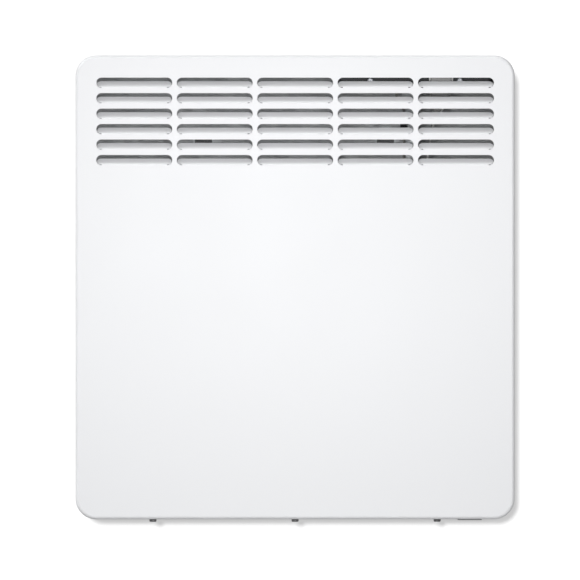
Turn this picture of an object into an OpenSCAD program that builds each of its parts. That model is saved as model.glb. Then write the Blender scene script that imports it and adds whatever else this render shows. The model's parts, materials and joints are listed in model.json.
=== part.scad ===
// Wall-mounted electric convector heater, millimetres.
// Each piece is drawn with the casing lying on its back: X across, Y up the casing
// and Z out from the wall. stand() then lifts it, so +Z is up and the front faces -Y.
// The origin is on the wall, in the middle of the wall bracket's screw slots.

/* [Casing] */
// Width of the casing
body_w = 426; // [414:1:450]
// Height of the casing
body_h = 450; // [440:1:470]
// Distance from the wall to the front face
body_d = 100; // [96:1:110]
// Gap between the wall and the back of the casing
wall_gap = 20; // [18:0.5:23]
// Outer radius of the casing's four corners
corner_r = 20; // [17:0.5:22]
// Outer bend radius along the front edges
edge_r = 3; // [2:0.25:4]
// Sheet thickness of the casing
sheet_t = 1; // [0.8:0.1:1.2]
// Clearance between sheets that nest
fit_gap = 0.3; // [0.2:0.05:0.5]
// Depth of the rear panel's rim
rim_d = 14; // [10:1:18]
// Depth of the lip that the front panel turns in along the bottom
lip_d = 18; // [15:1:22]

/* [Louvres] */
// Least distance from the side of the casing to a louvre
louvre_margin = 15; // [12:1:17]
// Number of louvre rows
louvre_rows = 6; // [4:1:8]
// Length of one louvre opening
louvre_l = 73.6; // [66:0.2:75]
// Height of one louvre opening
louvre_h = 10; // [8:0.25:11]
// Web between neighbouring louvre columns
louvre_web_x = 4.4; // [3.5:0.1:8]
// Web between neighbouring louvre rows
louvre_web_y = 5; // [4:0.25:6]
// Distance from the top of the casing to the first louvre
louvre_top = 21.5; // [19:0.1:24]
// Angle that each blade is folded inwards
louvre_fold = 52; // [46:1:62]
// Inside bend radius at the root of each blade
louvre_bend_r = 1; // [0.6:0.1:1.6]
// Cut round the free edge of each blade
louvre_kerf = 0.5; // [0.3:0.1:0.8]

/* [Intake grille] */
// Number of intake slots front to back
intake_rows = 5; // [3:1:6]
// Length of one intake slot
intake_l = 62; // [50:1:68]
// Width of one intake slot
intake_w = 5; // [3:0.5:6]
// Web between neighbouring intake rows
intake_web = 4; // [3:0.5:5]
// Height of the flange that fixes the grille to the rear panel
intake_flange = 10; // [8:0.5:12]

/* [Casing screws] */
// Distance between neighbouring casing screws
casing_screw_pitch = 138; // [120:1:150]
// Radius of a casing screw's shank
casing_screw_r = 1.9; // [1.5:0.1:2.2]
// Radius of a casing screw's head
casing_screw_head_r = 3.4; // [3:0.1:4]
// Height of a casing screw's head
casing_screw_head_h = 2.6; // [2:0.1:3]
// Length of a casing screw's shank
casing_screw_l = 9; // [7:0.5:12]

/* [Wall bracket] */
// Sheet thickness of the wall bracket
bracket_t = 1.5; // [1.2:0.1:2]
// Distance between the bracket's two columns of hooks
hook_pitch_x = 178; // [170:1:184]
// Height of the lower edge of the upper hook slots above the origin
hook_slot_y = 141; // [136:0.5:146]
// Distance between the upper and the lower hooks
hook_pitch_y = 290; // [280:1:296]
// Width of one hook
hook_w = 17; // [14:0.5:18]
// Height of the hook's turned-up tip
hook_tip = 5.8; // [5:0.1:6.2]
// Height that the casing is lifted to come off the hooks
lift_travel = 8; // [7.6:0.1:8.4]
// Width of each hook slot in the rear panel
hook_slot_w = 20.6; // [20:0.1:23]
// Width of the bracket's rails and crossbars
rail_w = 30; // [26:1:34]
// Distance from the origin to the middle of each crossbar
crossbar_y = 110; // [100:1:118]
// Distance between the bracket's screw slots, across
fix_pitch_x = 100; // [80:1:110]
// Radius of a bracket screw slot's ends
fix_r = 3.1; // [2.6:0.1:3.6]
// Length of a bracket screw slot, end to end
fix_l = 15; // [12:0.5:18]
// Length of a lightening slot in the rails
rail_slot_l = 24; // [16:1:28]
// Width of a lightening slot in the rails
rail_slot_w = 7; // [5:0.5:7]
// Distance from one lightening slot to the next
rail_slot_pitch = 36; // [32:1:40]

/* [Heating element] */
// Radius of the heating tube
tube_r = 4; // [3.5:0.1:4.5]
// Half the distance between the tube's two legs
leg_offset = 13; // [12:0.5:15]
// Height of the element's middle, from the origin
element_y = -110; // [-120:1:-100]
// Distance from the casing's left side to the end of the tube's bend
element_inset = 16; // [13:1:22]
// Height of a cooling fin
fin_h = 62; // [56:1:66]
// Depth of a cooling fin
fin_d = 46; // [40:1:48]
// Thickness of a cooling fin
fin_t = 0.6; // [0.5:0.1:0.8]
// Distance from one cooling fin to the next
fin_pitch = 5; // [4.5:0.1:6]
// Size of the notches that give a fin its X shape
fin_notch = 15; // [10:0.5:17]
// Gap between the fins and the heat shield
shield_gap = 2.4; // [1:0.2:3]

/* [Control unit] */
// Width of the control unit
ctl_w = 150; // [140:1:154]
// Height of the control unit under its fascia
ctl_h = 30; // [28:0.5:32]
// Distance from the casing's right side to the control unit
ctl_inset = 21.5; // [18:0.5:23]
// Wall thickness of the moulded parts
wall_t = 2; // [1.6:0.1:2.2]
// Radius of a button cap
button_r = 6; // [5:0.1:6.6]
// Height of a button cap above the fascia
button_proud = 0.9; // [0.8:0.1:1.4]
// Travel of a button
button_travel = 0.8; // [0.5:0.1:0.8]
// Distance from the middle of the unit to the nearer button
button_x = 41; // [39:0.5:43]
// Distance between the two buttons of a pair
button_pitch = 17.5; // [16.5:0.25:18]
// Width of the display window
display_w = 56; // [50:1:58]
// Depth of the display window
display_d = 26; // [22:1:28]

/* [Mains switch] */
// Width of the switch bezel, across the casing
switch_w = 23.4; // [22:0.2:25]
// Length of the switch bezel, front to back
switch_l = 30; // [28:0.5:32]
// Thickness of the switch bezel
switch_bezel = 2.8; // [1.8:0.1:3.2]
// Distance from the casing's right side to the middle of the switch
switch_inset = 42.7; // [40:0.5:46]
// Angle that the rocker turns
rocker_travel = 20; // [16:1:22]

/* [Cable gland] */
// Radius of the gland's bore, for the mains cable
gland_r = 3.7; // [3.4:0.1:4]
// Distance from the casing's right side to the gland
gland_inset = 20; // [18:0.5:24]
// Height of the gland above the bottom of the casing
gland_up = 27; // [26:0.5:32]

/* [Control unit details] */
// Distance between the screws in the front of the control unit
ctl_screw_pitch = 87; // [80:0.5:92]
// Radius of a control unit screw's shank
ctl_screw_r = 1.5; // [1.2:0.1:1.7]
// Radius of a control unit screw's head
ctl_screw_head_r = 2.9; // [2.4:0.1:3.2]
// Length of a control unit screw's shank
ctl_screw_l = 9; // [7:0.5:9.5]
// Height of the skirt at the front of the fascia
skirt_h = 26; // [24:0.5:27]
// Width of the ledge that the fascia keeps under the casing
fascia_ledge = 3; // [2:0.25:4]
// Depth of the fascia's face below the top of the casing
fascia_sink = 0.8; // [0.6:0.1:1]
// Thickness of the display window
window_t = 1.6; // [1.2:0.1:1.8]
// Width of the ledge under the display window
window_ledge = 2; // [1.5:0.25:3]
// Depth of the control board under the fascia
board_drop = 9; // [8.5:0.25:10]
// Thickness of the circuit boards
board_t = 1.6; // [1.2:0.1:2]
// Width of the flat cable
ribbon_w = 20; // [18:0.5:21]
// Thickness of the flat cable
ribbon_t = 1; // [0.8:0.1:1.4]

/* [Power electronics] */
// Height of the tray's lower edge above the origin
tray_low = -70; // [-76:1:-66]
// Length of the power tray, up the casing
tray_l = 128; // [122:1:132]
// Width of the power tray
tray_w = 82; // [80:0.5:84]
// Height of the power tray's walls
tray_h = 12; // [11:0.5:16]
// Height of the power board above the tray's floor
board_lift = 7; // [6:0.5:8]

/* [Screws in the rear panel] */
// Radius of a panel screw's shank
panel_screw_r = 1.7; // [1.5:0.1:2]
// Radius of a panel screw's head
panel_screw_head_r = 3.2; // [2.8:0.1:3.6]
// Height of a panel screw's head
panel_screw_head_h = 2; // [1.6:0.1:2.4]
// Length of a panel screw's shank
panel_screw_l = 3.5; // [3:0.25:3.8]

/* [Hidden] */
$fn = 48;

half_w = body_w / 2;
half_h = body_h / 2;
back_z = wall_gap;                 // outside of the rear panel
floor_z = back_z + sheet_t;        // inside of the rear panel
face_z = body_d - sheet_t;         // inside of the front face
run = 0.3;                         // gap between pieces that move past each other
press = 0.05;                      // radial gap round tubes and shanks that are held
over = 1;                          // how far a cut runs past the face that it opens
skin = 0.01;                       // depth of a joining strip under the surfaces beside it
root_lap = 0.1;                    // reach of that strip into a blade's bend

// The rear panel nests inside the front panel.
nest = sheet_t + fit_gap;
rear_w = body_w - 2 * nest;
rear_h = body_h - 2 * nest;
rear_r = corner_r - nest;
rim_z = back_z + rim_d;            // front edge of the rear panel's rim
shelf_y = -half_h + nest;          // underside of the intake grille
shelf_top = shelf_y + sheet_t;

// A louvre blade uses up part of its flat length in the bend at its root.
blade_used = (louvre_bend_r + sheet_t / 2) * louvre_fold * PI / 180;
blade_l = louvre_h - louvre_kerf - blade_used;
blade_depth = (louvre_bend_r + sheet_t) * (1 - cos(louvre_fold))
            + blade_l * sin(louvre_fold) + sheet_t * cos(louvre_fold);
inner_z = body_d - blade_depth - 4;   // nothing inside comes nearer the blades than this
louvre_pitch_x = louvre_l + louvre_web_x;
louvre_pitch_y = louvre_h + louvre_web_y;
louvre_cols = floor((body_w - 2 * louvre_margin + louvre_web_x) / louvre_pitch_x);

// The partition stands behind the web between the last two louvre columns.
part_x = (louvre_cols / 2 - 1) * louvre_pitch_x;
part_t = 1;
part_flange = 12;

// Window in the bottom of the front panel, and the grille that fills it.
window_l = body_w - 2 * corner_r;
lip_z = body_d - lip_d;
grille_l = window_l - 2 * fit_gap;
grille_lip = 5;
intake_z = (floor_z + lip_z) / 2;
casing_screw_z = body_d - lip_d / 2;
casing_screws_x = [for (i = [-1:1]) i * casing_screw_pitch];

// Hooks: the casing hangs with the top of each slot just above the hook's neck.
hook_slot_h = lift_travel + bracket_t + 2 * run;
neck_top = hook_slot_y + hook_slot_h - run;
web_z = back_z - 2.5;              // outside of the bracket's rails
hook_z = floor_z + 0.5;            // inside of a hook's tip
hook_bend_r = 0.5;
bend_r = 0.5;                      // inside radius of the folds in thin sheet
hooks = [for (sx = [-1, 1], row = [0, 1]) [sx * hook_pitch_x / 2, -row * hook_pitch_y]];
rail_top = neck_top + 12;
rail_tail = 22;                    // length of a rail below its lower hook
rail_bottom = neck_top - hook_pitch_y - rail_tail;

// Element: a hairpin of tube, held at the partition and by one bracket on the left.
element_z = (floor_z + inner_z) / 2;
legs = [for (s = [-1, 1]) element_y + s * leg_offset];
bend_x = -half_w + element_inset + tube_r + leg_offset;
left_bracket_x = bend_x + 6;
cold_end = 9;                      // how far the tube reaches past the partition
tube_end = part_x + part_t + cold_end;
fins_from = left_bracket_x + 12;
fins_to = part_x - 14;
fin_count = floor((fins_to - fins_from) / fin_pitch) + 1;
collar_t = 0.8;
collar_l = 3;
bush_r = tube_r + 2.4;
bush_flange = 1.8;
shield_t = 0.6;
shield_z = element_z - fin_d / 2 - shield_gap - shield_t;
shield_half = fin_h / 2 + 14;
shield_foot = 9;
shield_from = left_bracket_x + 16;
shield_to = part_x - part_flange - 2;
bracket_sheet = 1;
end_bracket_l = fin_h + 14;
end_bracket_screw = end_bracket_l / 2 - 8;
foot_screw_y = half_h - 75;        // outer screws in the partition's foot
grille_screw_x = half_w - 63;
terminal_l = 13;                   // cone and pin at each end of the tube
terminal_x = tube_end + terminal_l;

// Limiter, on the partition above the element.
limiter_y = element_y + fin_h / 2 + 34;
limiter_r = 8;
limiter_cap = 3;
limiter_body = 8;
limiter_tab_l = 7;
clamp_pitch = 26;
rivet_r = 1.6;
rivet_head = 1;
vent_l = 34;                       // slots low in the partition, for cool air
vent_w = 4;
vent_pitch = 9;
vent_rows = 6;
vent_drop = 22;                    // from the lower leg down to the first slot

// Control unit: hangs behind the top of the casing, at the right.
ctl_x = half_w - ctl_inset - ctl_w / 2;
ctl_top = half_h - nest;           // top of the fascia's ledge
fascia_t = wall_t;
fascia_under = ctl_top - fascia_t;
fascia_face = half_h - fascia_sink;
ctl_bottom = fascia_under - ctl_h;
ctl_back = rim_z + fit_gap;
ctl_front = inner_z;
ctl_z = (ctl_back + ctl_front) / 2;
ctl_d = ctl_front - ctl_back;
box_d = ctl_d - wall_t - press;    // depth of the housing behind the fascia's skirt
box_z = ctl_back + box_d / 2;
ctl_screw_y = ctl_bottom + 9;
ctl_boss_r = 4;
ctl_boss_l = 9;
board_under = fascia_under - board_drop - board_t;
board_top = fascia_under - board_drop;
button_xs = [-button_x - button_pitch, -button_x, button_x, button_x + button_pitch];
button_flange_t = 1.6;
button_flange_r = button_r + 1.2;
button_gap = 0.15;
cap_edge_r = 0.6;
dish_r = 30;                       // radius of the hollow in a cap's top
dish_depth = 0.4;
stem_r = 2;
stem_l = 2.8;
stem_bottom = fascia_under - run - button_flange_t - stem_l;
ribbon_x = ctl_x + 25;
ribbon_z = ctl_z - 1;
header_wall = 3;
header_h = 9;
chip = [8, 6, 3];
chip_pitch = 14;
chip_x = ctl_x - 30;               // middle of the first chip
chip_z = ctl_z - 10;
key_w = 6;                         // body of a push switch
key_plunger_r = 1.7;
key_plunger_l = 0.8;

// Mains switch, in the intake grille at the right.
switch_x = half_w - switch_inset;
switch_z = intake_z + 6;
switch_body_w = switch_w - 3;
switch_body_l = switch_l - 3;
switch_body_h = 24;
switch_wall = 1.8;
pivot_y = shelf_y + 1.6;
pivot_r = 1.4;
pivot_gap = 0.06;
rocker_r = switch_body_l / 2 - switch_wall - 0.6;
rocker_w = switch_body_w - 2 * switch_wall - 0.8;
rocker_face = 3.4;                 // depth of the rocker's two ends below its pivot
rocker_dip = 2;                    // and of the middle of its face
rocker_top = 3.4;
rocker_shoulder = 2.6;
tab_w = 6.3;
tab_t = 0.8;
switch_tab_l = 8;

// Power electronics, on the rear panel under the control unit.
tray_left = part_x + part_t + 2;
tray_right = tray_left + tray_w;
tray_x = (tray_left + tray_right) / 2;
tray_y = tray_low + tray_l / 2;
tray_top = tray_low + tray_l;
tray_t = 1.8;
tray_lug = 9;
power_z = floor_z + tray_t + board_lift;     // back of the power board
power_face = power_z + board_t;
relay = [13, 29, 16];
relay_xs = [tray_left + 23, tray_left + 47];
relay_tab_l = 8;
ribbon_end_x = tray_left + 17;
header_l = 9;
socket_l = 8;
header_y = tray_top - 16;
header_z = power_face + header_h / 2;
block = [10, 14, 15];              // one clamp of the terminal block
block_y = tray_low + 12;
block_screw_r = 4;
entry_z = power_face + 8;          // middle of the wire entries
entry_l = 8;
relay_y = block_y + 44;
capacitor = [9, 26, 14];
choke_r = 6.5;
choke_wire_r = 4;
transformer = [26, 24, 19];
bobbin = [4, 14, 15];
reservoir_r = 5;
reservoir_h = 13;

gland_x = half_w - gland_inset;
gland_y = -half_h + gland_up;
gland_collar_r = gland_r + 2.4;
gland_flange_r = gland_r + 5;
gland_flange_t = 2.5;
gland_inside = 7;
gland_bead = 1.5;

sensor_x = part_x + 19;
sensor_z = intake_z + 12;
sensor_r = 2.4;
sensor_l = 14;
sensor_back = sensor_z - 6;        // end of the sensor where its lead leaves
holder_h = 16;
holder_foot = [12, 22, 2];
sensor_y = shelf_top + holder_h - 4;
sensor_vent = [12, 3];             // slots in the grille in front of the sensor
sensor_vent_pitch = 6;
sensor_vent_z = sensor_z - 22;

lead_r = 1.5;
thin_lead_r = 1.2;
clip_x = part_x - 10;
clip_y = half_h - 64.5;
clip_l = 10.6;
clip_wall = 1.4;
clip_z = floor_z + part_t + clip_wall + lead_r;
limiter_exit_x = part_x - 17.5;
limiter_exit_z = ctl_back + 13.7;
limiter_exit_r = lead_r + 0.7;

// Place that lies a part u of the way from a to b.
function between(a, b, u) = a + u * (b - a);

// Routes of the leads, as across, up and out from the wall. The flat cable's points have
// its twist in degrees too, 0 where its broad side faces the front.
ribbon_route = [
  [ribbon_x, board_under - 3, ribbon_z, 0], [ribbon_x, board_under - 15, ribbon_z, 0],
  [ribbon_x, ctl_bottom - 5, ribbon_z, 4], [ribbon_x - 3, ctl_bottom - 19, ribbon_z, 62],
  [ribbon_x - 7, ctl_bottom - 34, ribbon_z, 88], [ribbon_x - 10, ctl_bottom - 50, ribbon_z, 90],
  [ribbon_x - 12, tray_top + 69, ribbon_z - 1, 90], [ribbon_x - 12, tray_top + 52, ribbon_z - 4, 88],
  [ribbon_x - 10, tray_top + 34, ribbon_z - 8, 60], [ribbon_end_x - 2, tray_top + 20, header_z + 9, 20],
  [ribbon_end_x, tray_top + 8, header_z + 2.4, 0], [ribbon_end_x, tray_top - 2, header_z, 0],
  [ribbon_end_x, header_y + header_l - 3.8, header_z, 0]
];
limiter_route = [
  [part_x - 18.5, limiter_y, element_z + 1.6], [part_x - 25, limiter_y + 2, element_z + 0.6],
  [part_x - 27, limiter_y + 15, element_z - 8], [part_x - 20, limiter_y + 35, clip_z + 8],
  [clip_x - 1.5, between(limiter_y, clip_y, 0.32), clip_z],
  [clip_x, between(limiter_y, clip_y, 0.51), clip_z],
  [clip_x, clip_y - 40, clip_z], [clip_x, clip_y - 8, clip_z], [clip_x, clip_y + 8, clip_z],
  [clip_x, clip_y + 11, clip_z + 0.4], [clip_x - 3, ctl_bottom - 11, limiter_exit_z - 12],
  [limiter_exit_x, ctl_bottom - 5, limiter_exit_z], [limiter_exit_x, ctl_bottom + 1, limiter_exit_z],
  [limiter_exit_x, ctl_bottom + 8, limiter_exit_z]
];
upper_element_route = [
  [terminal_x + 0.1, legs[1], element_z], [terminal_x + 8, legs[1] + 2, element_z],
  [terminal_x + 11.5, legs[1] + 17, element_z], [relay_xs[0] + 4.5, relay_y - 41, element_z + 2],
  [relay_xs[0] + 0.6, relay_y - 21, element_z + 4],
  [relay_xs[0], relay_y, power_face + relay[2] + relay_tab_l + 2.6]
];
lower_element_route = [
  [terminal_x + 0.1, legs[0], element_z], [terminal_x + 12, legs[0] + 2, element_z],
  [relay_xs[1] - 4, legs[0] + 18, element_z], [relay_xs[1] + 1, relay_y - 66, element_z + 2],
  [relay_xs[1] + 0.6, relay_y - 26, element_z + 4],
  [relay_xs[1], relay_y, power_face + relay[2] + relay_tab_l + 2.6]
];
tab_top = shelf_y + switch_body_h + switch_tab_l;
block_low = block_y - block[1] / 2;
left_switch_route = [
  [switch_x - 5, tab_top + 1.6, switch_z - 7], [switch_x - 7, tab_top + 14, switch_z - 7.5],
  [switch_x - 12, tab_top + 32, switch_z - 11.5], [tray_x - 9.5, block_low - 65, entry_z + 2.6],
  [tray_x - 10, block_low - 35, entry_z + 0.2], [tray_x - 10, block_low - 5, entry_z],
  [tray_x - 10, block_low + 6.5, entry_z]
];
right_switch_route = [
  [switch_x + 5, tab_top + 1.6, switch_z - 7], [switch_x + 6, tab_top + 14, switch_z - 7.5],
  [switch_x + 6, tab_top + 32, switch_z - 11.5], [tray_x + 10.5, block_low - 65, entry_z + 2.6],
  [tray_x + 10, block_low - 35, entry_z + 0.2], [tray_x + 10, block_low - 5, entry_z],
  [tray_x + 10, block_low + 6.5, entry_z]
];
sensor_route = [
  [sensor_x, sensor_y, sensor_back - 0.1], [sensor_x, sensor_y, sensor_back - 5.5],
  [sensor_x - 1.5, sensor_y + 6, sensor_back - 10.5], [part_x + 13.5, sensor_y + 21, sensor_back - 13.5],
  [part_x + 10.5, between(sensor_y, tray_low, 0.43), power_face + 10.6],
  [part_x + 9.5, between(sensor_y, tray_low, 0.715), power_face + 8.6],
  [part_x + 10.5, tray_low - 15, power_face + 6.6], [tray_left + 11.5, tray_low - 3, power_face + 4.6],
  [tray_left + 14.5, tray_low + 8, power_face + 2.1]
];

white = "#f3f4f5";
inside_white = "#e4e6e8";
zinc = "#c3c6c8";
dark = "#2b2c2e";
alu = "#d4d6d8";
steel = "#9a9c9e";
ceramic = "#efece2";
board_green = "#2f6b46";

// Lifts a piece that is drawn on its back.
module stand() { rotate([90, 0, 0]) children(); }

// Places an upright piece at a point given as across, up and out from the wall.
module at(x, y, z) { translate([x, -z, y]) children(); }

// Turns a profile drawn in Y and Z so that it runs along X.
module along_x(l) { translate([-l / 2, 0, 0]) rotate([90, 0, 90]) linear_extrude(l) children(); }

module quarter_disc(r) {
  intersection() {
    circle(r);
    square(r);
  }
}

module quarter_ring(r_in, r_out) {
  difference() {
    quarter_disc(r_out);
    circle(r_in);
  }
}

// Rectangle with round corners, in the middle of its sides.
module round_rect(w, h, r) {
  square([w - 2 * r, h], center = true);
  for (s = [-1, 1]) translate([s * (w - r) / 2, 0]) square([r, h - 2 * r], center = true);
  for (k = [0:3])
    translate([(k == 0 || k == 3 ? 1 : -1) * (w / 2 - r), (k < 2 ? 1 : -1) * (h / 2 - r)])
      rotate(90 * k) quarter_disc(r);
}

// Slot with full round ends, along X.
module slot(l, h) {
  square([l - h, h], center = true);
  for (s = [-1, 1]) translate([s * (l - h) / 2, 0]) rotate(s > 0 ? -90 : 90) {
    quarter_disc(h / 2);
    rotate(90) quarter_disc(h / 2);
  }
}

// Section through the wall of a tray, its outside at X = 0 and its face at Y = depth.
module tray_section(e, t, depth) {
  translate([-t, 0]) square([t, depth - e]);
  translate([-e, depth - e]) quarter_ring(e - t, e);
}

// Sheet tray: a face at Z = depth with its edges bent back to Z = 0.
module tray(w, h, r, e, t, depth) {
  translate([0, 0, depth - t]) linear_extrude(t) round_rect(w - 2 * e, h - 2 * e, r - e);
  for (k = [0:3]) {
    reach = k % 2 == 0 ? w / 2 : h / 2;
    run_l = (k % 2 == 0 ? h : w) - 2 * r;
    rotate(90 * k) translate([reach, run_l / 2, 0]) rotate([90, 0, 0])
      linear_extrude(run_l) tray_section(e, t, depth);
    translate([(k == 0 || k == 3 ? 1 : -1) * (w / 2 - r), (k < 2 ? 1 : -1) * (h / 2 - r), 0])
      rotate(90 * k) rotate_extrude(angle = 90) translate([r, 0]) tray_section(e, t, depth);
  }
}

// Louvres
function louvre_x(i) = (i - (louvre_cols - 1) / 2) * louvre_pitch_x;
function louvre_y(j) = half_h - louvre_top - j * louvre_pitch_y - louvre_h / 2;

module each_louvre() {
  for (i = [0:louvre_cols - 1], j = [0:louvre_rows - 1])
    translate([louvre_x(i), louvre_y(j), 0]) children();
}

// Blade: the metal of one opening, less the cut round it, folded in about its lower edge,
// which lies at Y = 0 on the outside of the sheet, Z = 0. A strip just under the surface
// runs from the sheet into the bend, so that blade and sheet are one piece of metal.
module louvre_blade() {
  root_l = louvre_l - louvre_h;
  translate([skin - root_l / 2, -sheet_t, skin - sheet_t])
    cube([root_l - 2 * skin, sheet_t + root_lap, sheet_t - 2 * skin]);
  translate([0, 0, -sheet_t - louvre_bend_r]) rotate([-louvre_fold, 0, 0]) {
    rotate([90, 0, 90]) rotate(90) rotate_extrude(angle = louvre_fold - 1.5 * root_lap)
      translate([louvre_bend_r, -root_l / 2]) square([sheet_t, root_l]);
    translate([0, 0, louvre_bend_r]) linear_extrude(sheet_t) intersection() {
      translate([0, louvre_h / 2 - blade_used])
        slot(louvre_l - 2 * louvre_kerf, louvre_h - 2 * louvre_kerf);
      translate([-louvre_l / 2, 0]) square([louvre_l, louvre_h]);
    }
  }
}

// Front panel: one deep-drawn white sheet, open at the back and along the bottom.
module front_panel() color(white) {
  difference() {
    stand() translate([0, 0, back_z]) tray(body_w, body_h, corner_r, edge_r, sheet_t, body_d - back_z);
    stand() translate([0, 0, face_z - over]) linear_extrude(sheet_t + 2 * over)
      each_louvre() slot(louvre_l, louvre_h);
    stand() translate([-window_l / 2, -half_h - over, back_z - over])
      cube([window_l, sheet_t + 2 * over, lip_z - back_z + over]);
    at(0, -half_h - over, casing_screw_z) for (x = casing_screws_x)
      translate([x, 0, 0]) cylinder(r = casing_screw_r + press, h = sheet_t + 2 * over);
    at(ctl_x, half_h - sheet_t - over, ctl_z) linear_extrude(sheet_t + 2 * over)
      round_rect(ctl_w - 2 * fascia_ledge + 2 * fit_gap, ctl_d - 2 * fascia_ledge + 2 * fit_gap, 4);
  }
  stand() translate([0, -louvre_h / 2, body_d]) each_louvre() louvre_blade();
}

// Rear panel: shallow galvanised tray that nests in the front panel.
module rear_panel() color(zinc) {
  stand() difference() {
    translate([0, 0, rim_z]) mirror([0, 0, 1]) tray(rear_w, rear_h, rear_r, 2, sheet_t, rim_d);
    translate([-window_l / 2, -half_h, floor_z]) cube([window_l, nest + 2 * over, rim_d]);
    for (p = hooks) translate([p[0], p[1] + hook_slot_y + hook_slot_h / 2, back_z - over])
      linear_extrude(sheet_t + 2 * over) square([hook_slot_w, hook_slot_h], center = true);
    translate([gland_x, gland_y, back_z - over]) cylinder(r = gland_collar_r + press, h = 3);
    panel_screw_holes();
  }
}

// Screws that fix the inner pieces to the rear panel: across, up, and what each head sits on.
panel_screw_places = concat(
  [for (s = [-1:1]) [part_x - part_flange / 2 + 2, s * foot_screw_y, part_t]],
  [for (s = [-1, 1]) [left_bracket_x + 8, element_y + s * end_bracket_screw, bracket_sheet]],
  [for (s = [-1, 1])
    [(shield_from + shield_to) / 2, element_y + s * (shield_half + shield_foot / 2), shield_t]],
  [for (s = [-1, 1]) [tray_x, tray_y + s * (tray_l / 2 + tray_lug / 2), tray_t]],
  [for (s = [-1, 1]) [s * grille_screw_x, shelf_top + intake_flange / 2 + 1, sheet_t]]
);

module each_panel_screw() { for (p = panel_screw_places) translate([p[0], p[1], 0]) children(); }

// Hole for a panel screw, from the back of the rear panel through whatever lies on it.
module panel_screw_holes() {
  translate([0, 0, back_z - over]) each_panel_screw()
    cylinder(r = panel_screw_r + press, h = sheet_t + tray_t + 2 * over);
}

// Folded angle: one leg along X, one along Y, its outside corner at the origin.
module angle_section(a, b, t, r) {
  translate([r + t, 0]) square([a - r - t, t]);
  translate([0, r + t]) square([t, b - r - t]);
  translate([r + t, r + t]) rotate(180) quarter_ring(r, r + t);
}

// Runs a section drawn in X and Z up the casing, from Y = 0.
module along_y(l) { translate([0, l, 0]) rotate([90, 0, 0]) linear_extrude(l) children(); }

// Places a piece whose axis lies across the casing.
module across(x, y, z) { translate([x, y, z]) rotate([0, 90, 0]) children(); }

// Intake grille: slotted shelf that closes the bottom and carries the mains switch.
module intake_grille() color(zinc) {
  shelf_d = face_z - edge_r - floor_z;
  difference() {
    stand() translate([0, shelf_y, floor_z]) along_x(grille_l) {
      mirror([1, -1]) angle_section(0.7 * shelf_d, intake_flange + sheet_t, sheet_t, bend_r);
      translate([0, shelf_d]) mirror([0, 1]) mirror([1, -1])
        angle_section(0.7 * shelf_d, grille_lip, sheet_t, bend_r);
    }
    for (i = [0:louvre_cols - 2], j = [0:intake_rows - 1])
      at(louvre_x(i), shelf_y - over, intake_z + (j - (intake_rows - 1) / 2) * (intake_w + intake_web))
        linear_extrude(sheet_t + 2 * over) slot(intake_l, intake_w);
    at(switch_x, shelf_y - over, switch_z) linear_extrude(sheet_t + 2 * over)
      round_rect(switch_body_w + fit_gap, switch_body_l + fit_gap, 1);
    for (x = casing_screws_x) at(x, shelf_y - over, casing_screw_z)
      cylinder(r = casing_screw_r + press, h = sheet_t + 2 * over);
    for (k = [-1:1]) at(sensor_x, shelf_y - over, sensor_vent_z + sensor_vent_pitch * k)
      linear_extrude(sheet_t + 2 * over) slot(sensor_vent[0], sensor_vent[1]);
    stand() panel_screw_holes();
  }
}

// Partition: folded sheet between the heating chamber and the electronics.
module partition() color(zinc) stand() difference() {
  foot_y = shelf_top + intake_flange + run;
  union() {
    translate([part_x + part_t, foot_y, floor_z]) along_y(ctl_bottom - bend_r - part_t - foot_y)
      mirror([1, 0]) angle_section(part_flange + part_t, inner_z - floor_z, part_t, bend_r);
    translate([part_x, shelf_top + run, floor_z + part_flange])
      cube([part_t, foot_y - shelf_top - run, inner_z - floor_z - 2 * part_flange]);
    translate([part_x, ctl_bottom, ctl_back]) linear_extrude(ctl_d - part_flange)
      mirror([0, 1]) difference() {
        angle_section(part_flange, part_flange, part_t, bend_r);
        translate([-over, bend_r + part_t]) square([part_flange, part_flange]);
      }
  }
  for (y = legs) across(part_x - over, y, element_z) cylinder(r = bush_r, h = part_t + 2 * over);
  for (s = [-1, 1]) across(part_x - over, limiter_y + s * clamp_pitch / 2, element_z)
    cylinder(r = rivet_r + press, h = part_t + 2 * over);
  for (k = [0:vent_rows - 1]) translate([part_x - over, legs[0] - vent_drop - k * vent_pitch, element_z])
    rotate([90, 0, 90]) linear_extrude(part_t + 2 * over) rotate(90) slot(vent_l, vent_w);
  panel_screw_holes();
}

// Heat shield: reflecting sheet between the element and the rear panel, on folded feet.
module heat_shield() color(alu) stand() difference() {
  drop = shield_z - floor_z;
  translate([(shield_from + shield_to) / 2, element_y, floor_z]) along_x(shield_to - shield_from) {
    translate([0, drop + shield_t / 2]) square([2 * shield_half, shield_t], center = true);
    for (s = [0, 1]) mirror([s, 0]) {
      translate([shield_half - shield_t, 0]) square([shield_t, drop + shield_t]);
      translate([shield_half - shield_t, 0]) square([shield_foot + shield_t, shield_t]);
    }
  }
  panel_screw_holes();
}

// Pan head with a cross recess, its underside on Z = 0 and its top up.
module pan_head(r, h) {
  difference() {
    rotate_extrude() {
      square([r, h - 1]);
      square([r - 1, h]);
      translate([r - 1, h - 1]) quarter_disc(1);
    }
    for (a = [0, 90]) rotate(a) translate([0, 0, h]) cube([1.3 * r, 0.8, 2], center = true);
  }
}

// Screw driven down: its shank below Z = 0 and its head above.
module screw(r, head_r, head_h, l) {
  pan_head(head_r, head_h);
  translate([0, 0, -l]) cylinder(r = r, h = l);
}

module casing_screws() color(dark)
  for (x = casing_screws_x) at(x, -half_h, casing_screw_z) rotate([180, 0, 0])
    screw(casing_screw_r, casing_screw_head_r, casing_screw_head_h, casing_screw_l);

module panel_screws() color(steel) stand()
  for (p = panel_screw_places) translate([p[0], p[1], floor_z + p[2]])
    screw(panel_screw_r, panel_screw_head_r, panel_screw_head_h, panel_screw_l);

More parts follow.
